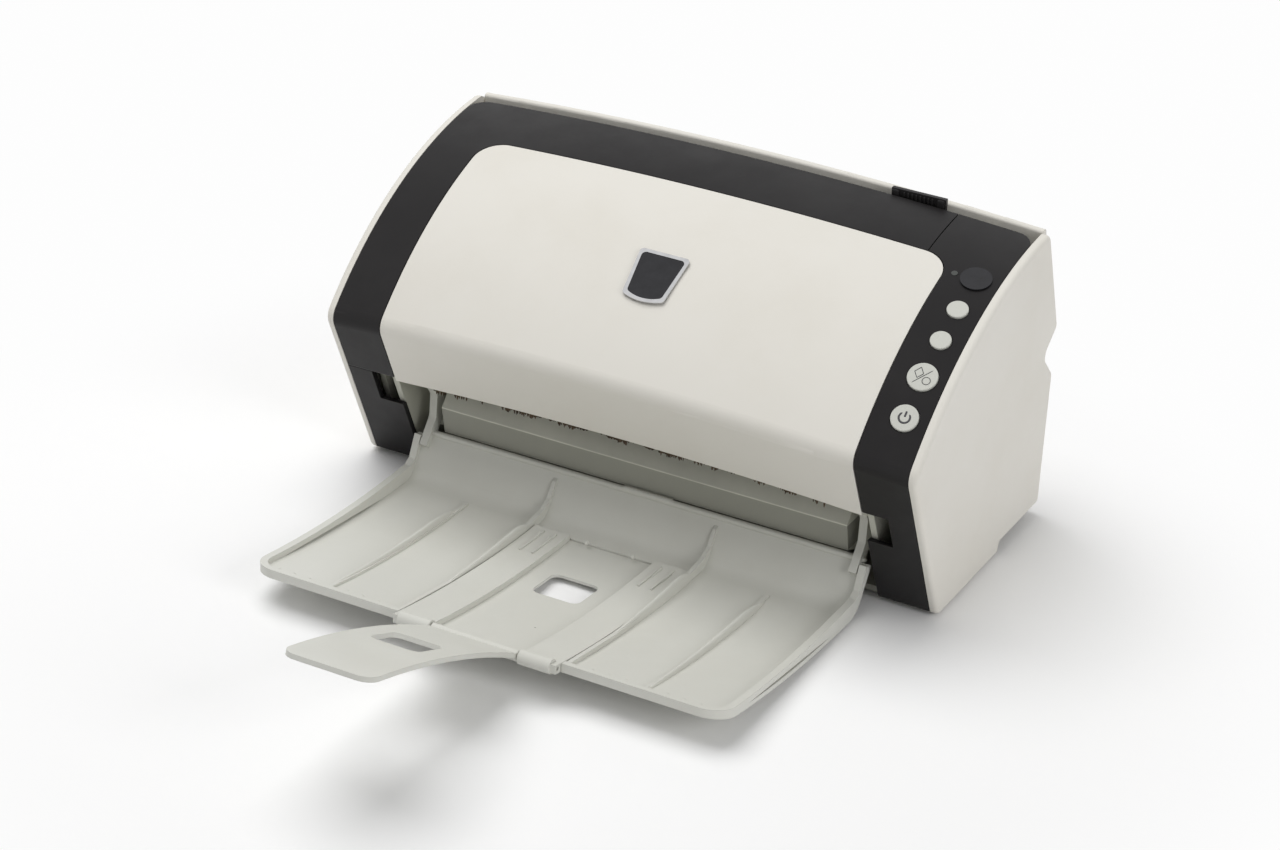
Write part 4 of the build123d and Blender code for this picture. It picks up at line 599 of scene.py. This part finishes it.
def make_rubber():
    """Dark rubber, ribbed along its axis and dulled by paper dust."""
    material, tree, shader, place = new_material("soft_rubber")
    split = tree.nodes.new("ShaderNodeSeparateXYZ")
    tree.links.new(place, split.inputs["Vector"])
    ribs = arithmetic(tree, "SINE", arithmetic(tree, "MULTIPLY", split.outputs["X"], 5200.0), 0.0)
    dust = spread(tree, noise(tree, place, 120.0, 5.0, 0.65), 0.42, 0.72)
    colour = mix_colour(tree, dust, (0.035, 0.036, 0.038, 1.0), (0.11, 0.108, 0.1, 1.0))
    tree.links.new(colour, shader.inputs["Base Color"])
    tree.links.new(spread(tree, dust, 0.0, 1.0, 0.62, 0.85), shader.inputs["Roughness"])
    link_bump(tree, shader, ribs, 0.4, 0.00012)


def make_board():
    """Solder mask over fine copper tracks, with bare pads."""
    material, tree, shader, place = new_material("circuit_board")
    tracks = add_node(tree, "ShaderNodeTexBrick", {"Scale": 190.0, "Mortar Size": 0.03, "Bias": 0.0})
    tree.links.new(place, tracks.inputs["Vector"])
    pads = add_node(tree, "ShaderNodeTexVoronoi", {"Scale": 420.0, "Randomness": 0.5})
    tree.links.new(place, pads.inputs["Vector"])
    pad = arithmetic(tree, "LESS_THAN", pads.outputs["Distance"], 0.16)
    colour = mix_colour(tree, tracks.outputs["Fac"], (0.018, 0.12, 0.06, 1.0), (0.035, 0.2, 0.1, 1.0))
    tree.links.new(mix_colour(tree, pad, colour, (0.62, 0.58, 0.45, 1.0)), shader.inputs["Base Color"])
    shader.inputs["Roughness"].default_value = 0.38
    link_bump(tree, shader, tracks.outputs["Fac"], 0.3, 0.00003)


def make_foam():
    """Crumbling foam: open cells, brown to black."""
    material, tree, shader, place = new_material("worn_foam")
    cells = add_node(tree, "ShaderNodeTexVoronoi", {"Scale": 1500.0})
    tree.links.new(place, cells.inputs["Vector"])
    tone = noise(tree, place, 160.0, 4.0)
    colour = mix_colour(tree, tone, (0.02, 0.014, 0.009, 1.0), (0.14, 0.095, 0.055, 1.0))
    tree.links.new(colour, shader.inputs["Base Color"])
    shader.inputs["Roughness"].default_value = 0.95
    link_bump(tree, shader, cells.outputs["Distance"], 0.8, 0.0004)


def make_smoked():
    """Dark clear plastic over black, with a faint haze of fingerprints."""
    material, tree, shader, place = new_material("smoked_gloss")
    haze = noise(tree, place, 180.0, 5.0, 0.6)
    colour = mix_colour(tree, haze, (0.008, 0.008, 0.01, 1.0), (0.022, 0.022, 0.026, 1.0))
    tree.links.new(colour, shader.inputs["Base Color"])
    tree.links.new(spread(tree, haze, 0.3, 0.75, 0.08, 0.22), shader.inputs["Roughness"])
    shader.inputs["Specular IOR Level"].default_value = 0.35


def paint(nodes, material):
    """Puts one material into every slot of the CAD nodes."""
    for name in nodes:
        data = frame["nodes"][name].data
        if not data.materials:
            data.materials.append(None)
        for index in range(len(data.materials)):
            data.materials[index] = material


# Settings a user would change


def colour_property(name, description, default):
    """A linear colour setting."""
    return bpy.props.FloatVectorProperty(
        name=name, description=description, default=default, size=3, min=0.0, max=1.0, subtype="COLOR"
    )


class ScannerColours(bpy.types.PropertyGroup):
    """Colours of the moulded pieces."""

    shell: colour_property("Shell", "Pale outer covers", (0.775, 0.752, 0.695))
    shell_soiled: colour_property("Handled shell", "Pale covers where they are handled", (0.72, 0.69, 0.62))
    band: colour_property("Band", "Dark band round the cover panel", (0.0115, 0.0105, 0.011))
    band_soiled: colour_property("Dusty band", "Dark band under dust", (0.023, 0.022, 0.022))
    tray: colour_property("Tray", "Output tray and its tongue", (0.675, 0.675, 0.625))
    tray_soiled: colour_property("Handled tray", "Tray where paper slides", (0.62, 0.615, 0.56))
    inner: colour_property("Frame", "Inner frame and paper guides", (0.52, 0.52, 0.455))
    inner_soiled: colour_property("Dusty frame", "Inner frame under dust", (0.43, 0.43, 0.37))
    key: colour_property("Keys", "Round key caps", (0.60, 0.605, 0.555))
    mark: colour_property("Marks", "Printed marks on the keys", (0.055, 0.055, 0.06))


class ScannerStage(bpy.types.PropertyGroup):
    """Light, floor and camera."""

    floor: colour_property("Floor", "Floor as it lights the object; it is seen white", (0.93, 0.93, 0.93))
    key_power: bpy.props.FloatProperty(
        name="Overhead lamp",
        description="Power of the soft box overhead",
        default=22.0,
        min=0.0,
        unit="POWER",
    )
    fill_power: bpy.props.FloatProperty(
        name="Fill lamp", description="Power of the side lamp", default=17.0, min=0.0, unit="POWER"
    )
    ambient: bpy.props.FloatProperty(
        name="Ambient light",
        description="Strength of the even light from all round",
        default=0.33,
        min=0.0,
        max=1.0,
    )
    focal_length: bpy.props.FloatProperty(
        name="Focal length",
        description="Camera lens on a 36 mm wide frame",
        default=96.566,
        min=10.0,
        unit="CAMERA",
    )


# Operators


class SCANNER_OT_finishes(bpy.types.Operator):
    """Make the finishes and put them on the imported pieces"""

    bl_idname = "scanner.finishes"
    bl_label = "Finishes"

    def execute(self, context):
        colours = context.scene.scanner_colours
        make_grain_group()
        make_age_group()
        shell = moulded_plastic("pale_shell", colours.shell, colours.shell_soiled, 0.5, 0.5, 1.0)[0]
        band, _, shader, _ = moulded_plastic(
            "dark_band", colours.band, colours.band_soiled, 0.42, 0.55, 0.0
        )
        shader.inputs["Specular IOR Level"].default_value = 0.2
        tray = moulded_plastic("grey_tray", colours.tray, colours.tray_soiled, 0.46, 0.6, 0.7)[0]
        inner = moulded_plastic("frame_moulding", colours.inner, colours.inner_soiled, 0.55, 0.7, 0.8)[0]
        # Painted light for the exit guide's top and painted shade for its recessed front, as factors of the
        # frame colour
        light = tuple(GUIDE_PAINTED_LIGHT * c for c in colours.inner)
        dark = tuple(GUIDE_PAINTED_SHADE * c for c in colours.inner)
        guide = make_guide(light, dark)
        worn_key = tuple(0.9 * c for c in colours.key)
        grain = (2600.0, 1200.0)
        key = moulded_plastic(
            "key_cap", colours.key, worn_key, 0.3, 0.4, 0.0, grain, 0.00001, 0.0002
        )[0]
        wheel = moulded_plastic("wheel_plastic", (0.1, 0.1, 0.1), (0.16, 0.155, 0.14), 0.42, 0.6, 0.0)[0]
        socket = moulded_plastic("socket_plastic", (0.02, 0.02, 0.022), (0.04, 0.04, 0.04), 0.4, 0.5, 0.0)[0]
        moulded_plastic("mark_ink", colours.mark, tuple(1.4 * c for c in colours.mark), 0.45, 0.4, 0.0)
        lens = moulded_plastic("lamp_lens", (0.05, 0.055, 0.05), (0.07, 0.075, 0.07), 0.18, 0.4, 0.0)[0]
        make_steel()
        make_chrome()
        make_glass()
        make_rubber()
        make_board()
        make_foam()
        make_smoked()
        made = {
            "shell": shell,
            "band": band,
            "tray": tray,
            "inner": inner,
            "guide": guide,
            "key": key,
            "wheel": wheel,
            "socket": socket,
            "lens": lens,
            "steel": bpy.data.materials["ground_steel"],
            "chrome": bpy.data.materials["bright_plating"],
            "glass": bpy.data.materials["scan_glass"],
            "rubber": bpy.data.materials["soft_rubber"],
            "board": bpy.data.materials["circuit_board"],
            "smoked": bpy.data.materials["smoked_gloss"],
        }
        for finish, nodes in FINISHES.items():
            paint(nodes, made[finish])
        return {"FINISHED"}


class SCANNER_OT_key_marks(bpy.types.Operator):
    """Print the power mark and the start and stop mark on their keys"""

    bl_idname = "scanner.key_marks"
    bl_label = "Key marks"

    def execute(self, context):
        face = key_face("power_button", "power_button_press")
        size = (POWER_STROKE, GLYPH_HEIGHT)
        strokes = [
            stroke(ring_arc(0.0025, 128, 412), False, *size, *face),
            stroke(straight((0.0, 0.0032), (0.0, 0.0002)), False, *size, *face),
        ]
        mesh = build_mesh("power_mark", strokes)
        add_piece("power_mark", mesh, "mark_ink", "power_button")
        face = key_face("scan_button", "scan_button_press")
        size = (GLYPH_STROKE, GLYPH_HEIGHT)
        diamond = polygon([(-0.0042, 0.0014), (-0.0021, 0.0041), (0.0, 0.0014), (-0.0021, -0.0013)])
        ring = ring_arc(0.0018, 0, 360, 41, (0.0024, -0.0016))[:-1]
        strokes = [
            stroke(diamond, True, *size, *face),
            stroke(ring, True, *size, *face),
            stroke(straight((0.0034, 0.0042), (-0.0034, -0.0042), 24), False, *size, *face),
        ]
        mesh = build_mesh("start_stop_mark", strokes)
        add_piece("start_stop_mark", mesh, "mark_ink", "scan_button")
        return {"FINISHED"}


class SCANNER_OT_tray_details(bpy.types.Operator):
    """Add the fins, the back edge, the nubs along the rim and the small stops on the middle leaf"""

    bl_idname = "scanner.tray_details"
    bl_label = "Tray details"

    def execute(self, context):
        like_tray = ("grey_tray", "tray", "tray_plastic")
        fins = [fin(x, FIN_BACK, FIN_FRONT, FIN_RISE, FIN_HALF_WIDTH) for x in (-FIN_X, FIN_X)]
        fins += [
            fin(x, CREST_BACK, CREST_FRONT, CREST_RISE, CREST_HALF_WIDTH) for x in (-CREST_X, CREST_X)
        ]
        add_grids("tray_fins", fins, *like_tray)
        x = np.linspace(-BACK_REACH, BACK_REACH, BACK_POINTS)
        step = STEP_RISE * np.clip((STEP_HALF_WIDTH - np.abs(x - STEP_X)) / STEP_RISE, 0, 1)
        edge = rounded_bar(x, (BACK_EDGE[0] + SHIFT, BACK_EDGE[1]), BACK_HALF, step)
        add_grids("tray_back_edge", [edge], *like_tray)
        level = floor_height(NUB_Y)
        nubs = [
            dome((side * FIN_X + along, NUB_Y + SHIFT, level), NUB_HALF)
            for side in (-1, 1)
            for along in NUB_STEPS
        ]
        add_grids("rim_nubs", nubs, *like_tray)
        stops = [
            fin(x, back, back - STOP_LENGTH, STOP_RISE, STOP_HALF_WIDTH, LEAF_RISE, STOP_ROWS)
            for x, back in STOPS
        ]
        level = floor_height(KNOB_Y) + LEAF_RISE
        stops += [dome((x, KNOB_Y + SHIFT, level), KNOB_HALF) for x in (-KNOB_X, KNOB_X)]
        add_grids("leaf_stops", stops, *like_tray)
        return {"FINISHED"}


class SCANNER_OT_lever_grip(bpy.types.Operator):
    """Add the ridges and the end pads on the release lever's thumb tab"""

    bl_idname = "scanner.lever_grip"
    bl_label = "Lever grip"

    def execute(self, context):
        low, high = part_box("latch_lever")
        face = (LEVER_FACE[0] + SHIFT, LEVER_FACE[1])
        ridges = np.linspace(low.x + RIDGE_INSET, high.x - RIDGE_INSET, RIDGE_COUNT)
        pads = (low.x + PAD_INSET, high.x - PAD_INSET)
        blocks = [rounded_block((x, *face), RIDGE_HALF) for x in ridges]
        blocks += [rounded_block((x, *face), PAD_HALF) for x in pads]
        add_grids("lever_grip", blocks, "dark_band", "latch", "dark_plastic")
        return {"FINISHED"}


class SCANNER_OT_worn_strips(bpy.types.Operator):
    """Lay the worn strip along the paper exit, and its crumbs under the cover's lip"""

    bl_idname = "scanner.worn_strips"
    bl_label = "Worn strips"

    def execute(self, context):
        low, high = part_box("exit_pile")
        x = np.linspace(low.x, high.x, STRIP_POINTS)
        y = np.full(STRIP_POINTS, (low.y + high.y) / 2)
        top = np.full(STRIP_POINTS, high.z)
        size = np.maximum(torn_sizes(STRIP_POINTS, 7, 0.75), 0.1)
        grid = torn_strip(x, y, top, size, FRINGE_SHARE * (high.z - low.z), (high.y - low.y) / 2)
        piece = add_grids("exit_fringe", [grid], "worn_foam", "base", "pile_fabric")
        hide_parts("exit_pile")
        x = np.linspace(-LIP_HALF_WIDTH, LIP_HALF_WIDTH, STRIP_POINTS)
        sag = x**2 / (2 * CROWN_RADIUS)
        y = LIP_EDGE[0] + SHIFT + sag * cos(CROWN_TILT)
        top = LIP_EDGE[1] + CRUMB_TUCK - sag * sin(CROWN_TILT)
        size = np.maximum(torn_sizes(STRIP_POINTS, 11, 0.7), 0.02)
        grid = torn_strip(x, y, top, size, CRUMB_REACH, CRUMB_HALF_DEPTH)
        add_grids("lip_crumbs", [grid], "worn_foam", "cover", "pile_fabric")
        return {"FINISHED"}


class SCANNER_OT_stage(bpy.types.Operator):
    """Set the floor, the lamps and the camera"""

    bl_idname = "scanner.stage"
    bl_label = "Stage"

    def execute(self, context):
        stage = context.scene.scanner_stage
        scene = context.scene
        floor_mesh = bpy.data.meshes.new("floor")
        signs = ((-1, -1), (1, -1), (1, 1), (-1, 1))
        corners = [(x * FLOOR_HALF, y * FLOOR_HALF, 0.0) for x, y in signs]
        floor_mesh.from_pydata(corners, [], [(0, 1, 2, 3)])
        floor = bpy.data.objects.new("floor", floor_mesh)
        scene.collection.objects.link(floor)
        floor_mesh.materials.append(self.floor_material(stage))
        self.light_world(scene, stage)
        self.add_lamp("overhead", *OVERHEAD, stage.key_power)
        self.add_lamp("side_fill", *SIDE_FILL, stage.fill_power)
        self.place_camera(scene, stage)
        scene.view_settings.view_transform = "Standard"
        return {"FINISHED"}

    def seen_rays(self, tree):
        """1 for rays from the camera, gloss or glass, and 0 for the light on the object."""
        path = tree.nodes.new("ShaderNodeLightPath")
        seen = arithmetic(tree, "MAXIMUM", path.outputs["Is Camera Ray"], path.outputs["Is Transmission Ray"])
        return arithmetic(tree, "MAXIMUM", seen, path.outputs["Is Glossy Ray"])

    def floor_material(self, stage):
        """Matte floor, seen white, that fades to an even white away from the object."""
        material, tree, shader, place = new_material("pale_floor")
        seen = self.seen_rays(tree)
        colour = mix_colour(tree, seen, (*stage.floor, 1.0), (1.0, 1.0, 1.0, 1.0))
        tree.links.new(colour, shader.inputs["Base Color"])
        shader.inputs["Roughness"].default_value = 0.9
        shader.inputs["Specular IOR Level"].default_value = 0.0
        speckle = noise(tree, place, 60.0, 3.0)
        link_bump(tree, shader, speckle, 0.05, 0.0005)
        reach = add_node(tree, "ShaderNodeVectorMath", operation="LENGTH")
        tree.links.new(place, reach.inputs[0])
        far = spread(tree, reach.outputs["Value"], FADE_START, FADE_END)
        seen = arithmetic(tree, "MULTIPLY", far, seen)
        white = add_node(tree, "ShaderNodeEmission", {"Color": EVEN_WHITE, "Strength": 1.0})
        blend = tree.nodes.new("ShaderNodeMixShader")
        tree.links.new(seen, blend.inputs[0])
        tree.links.new(shader.outputs[0], blend.inputs[1])
        tree.links.new(white.outputs[0], blend.inputs[2])
        tree.links.new(blend.outputs[0], tree.nodes["Material Output"].inputs["Surface"])
        return material

    def light_world(self, scene, stage):
        """Even light all round, white where the camera, gloss or glass sees it."""
        world = bpy.data.worlds.new("studio")
        world.use_nodes = True
        scene.world = world
        tree = world.node_tree
        strength = spread(tree, self.seen_rays(tree), 0.0, 1.0, stage.ambient, 1.0)
        tree.links.new(strength, tree.nodes["Background"].inputs["Strength"])
        tree.nodes["Background"].inputs["Color"].default_value = EVEN_WHITE

    def add_lamp(self, name, place, target, size, power):
        """Square soft box at a place, aimed at a target and kept out of reflections."""
        lamp = bpy.data.lights.new(name, "AREA")
        lamp.size = size
        lamp.energy = power
        holder = bpy.data.objects.new(name, lamp)
        bpy.context.scene.collection.objects.link(holder)
        holder.location = place
        holder.visible_glossy = False
        holder.rotation_euler = (Vector(target) - Vector(place)).to_track_quat("-Z", "Y").to_euler()

    def place_camera(self, scene, stage):
        """Camera on the line of sight through its target, turned a little about that line."""
        azimuth, elevation, roll = (radians(angle) for angle in CAMERA_ANGLES)
        target = Vector(CAMERA_TARGET)
        sight = Vector(
            (-sin(azimuth) * cos(elevation), cos(azimuth) * cos(elevation), -sin(elevation))
        )
        right = Vector((cos(azimuth), sin(azimuth), 0.0))
        up = right.cross(sight)
        rolled_right = right * cos(roll) + up * sin(roll)
        rolled_up = up * cos(roll) - right * sin(roll)
        data = bpy.data.cameras.new("camera")
        data.lens = stage.focal_length
        data.sensor_width = SENSOR_WIDTH
        camera = bpy.data.objects.new("camera", data)
        scene.collection.objects.link(camera)
        turn = Matrix((rolled_right, rolled_up, -sight)).transposed().to_4x4()
        camera.matrix_world = Matrix.Translation(target - sight * CAMERA_DISTANCE) @ turn
        scene.camera = camera


class SCANNER_PT_panel(bpy.types.Panel):
    """Lists the settings and the operators in the sidebar"""

    bl_idname = "SCANNER_PT_panel"
    bl_label = "Scanner"
    bl_space_type = "VIEW_3D"
    bl_region_type = "UI"
    bl_category = "Scanner"

    def draw(self, context):
        for group in (context.scene.scanner_colours, context.scene.scanner_stage):
            box = self.layout.box()
            for name in group.bl_rna.properties.keys()[2:]:
                box.prop(group, name)
        for operator in OPERATORS:
            self.layout.operator(operator.bl_idname)


GROUPS = (ScannerColours, ScannerStage)
OPERATORS = (
    SCANNER_OT_finishes,
    SCANNER_OT_key_marks,
    SCANNER_OT_tray_details,
    SCANNER_OT_lever_grip,
    SCANNER_OT_worn_strips,
    SCANNER_OT_stage,
)


def register():
    for cls in (*GROUPS, *OPERATORS, SCANNER_PT_panel):
        bpy.utils.register_class(cls)
    bpy.types.Scene.scanner_colours = bpy.props.PointerProperty(type=ScannerColours)
    bpy.types.Scene.scanner_stage = bpy.props.PointerProperty(type=ScannerStage)


def unregister():
    del bpy.types.Scene.scanner_stage
    del bpy.types.Scene.scanner_colours
    for cls in reversed((*GROUPS, *OPERATORS, SCANNER_PT_panel)):
        bpy.utils.unregister_class(cls)


def main():
    register()
    bpy.ops.scanner.finishes()
    bpy.ops.scanner.key_marks()
    bpy.ops.scanner.tray_details()
    bpy.ops.scanner.lever_grip()
    bpy.ops.scanner.worn_strips()
    bpy.ops.scanner.stage()


if __name__ == "__main__":
    main()
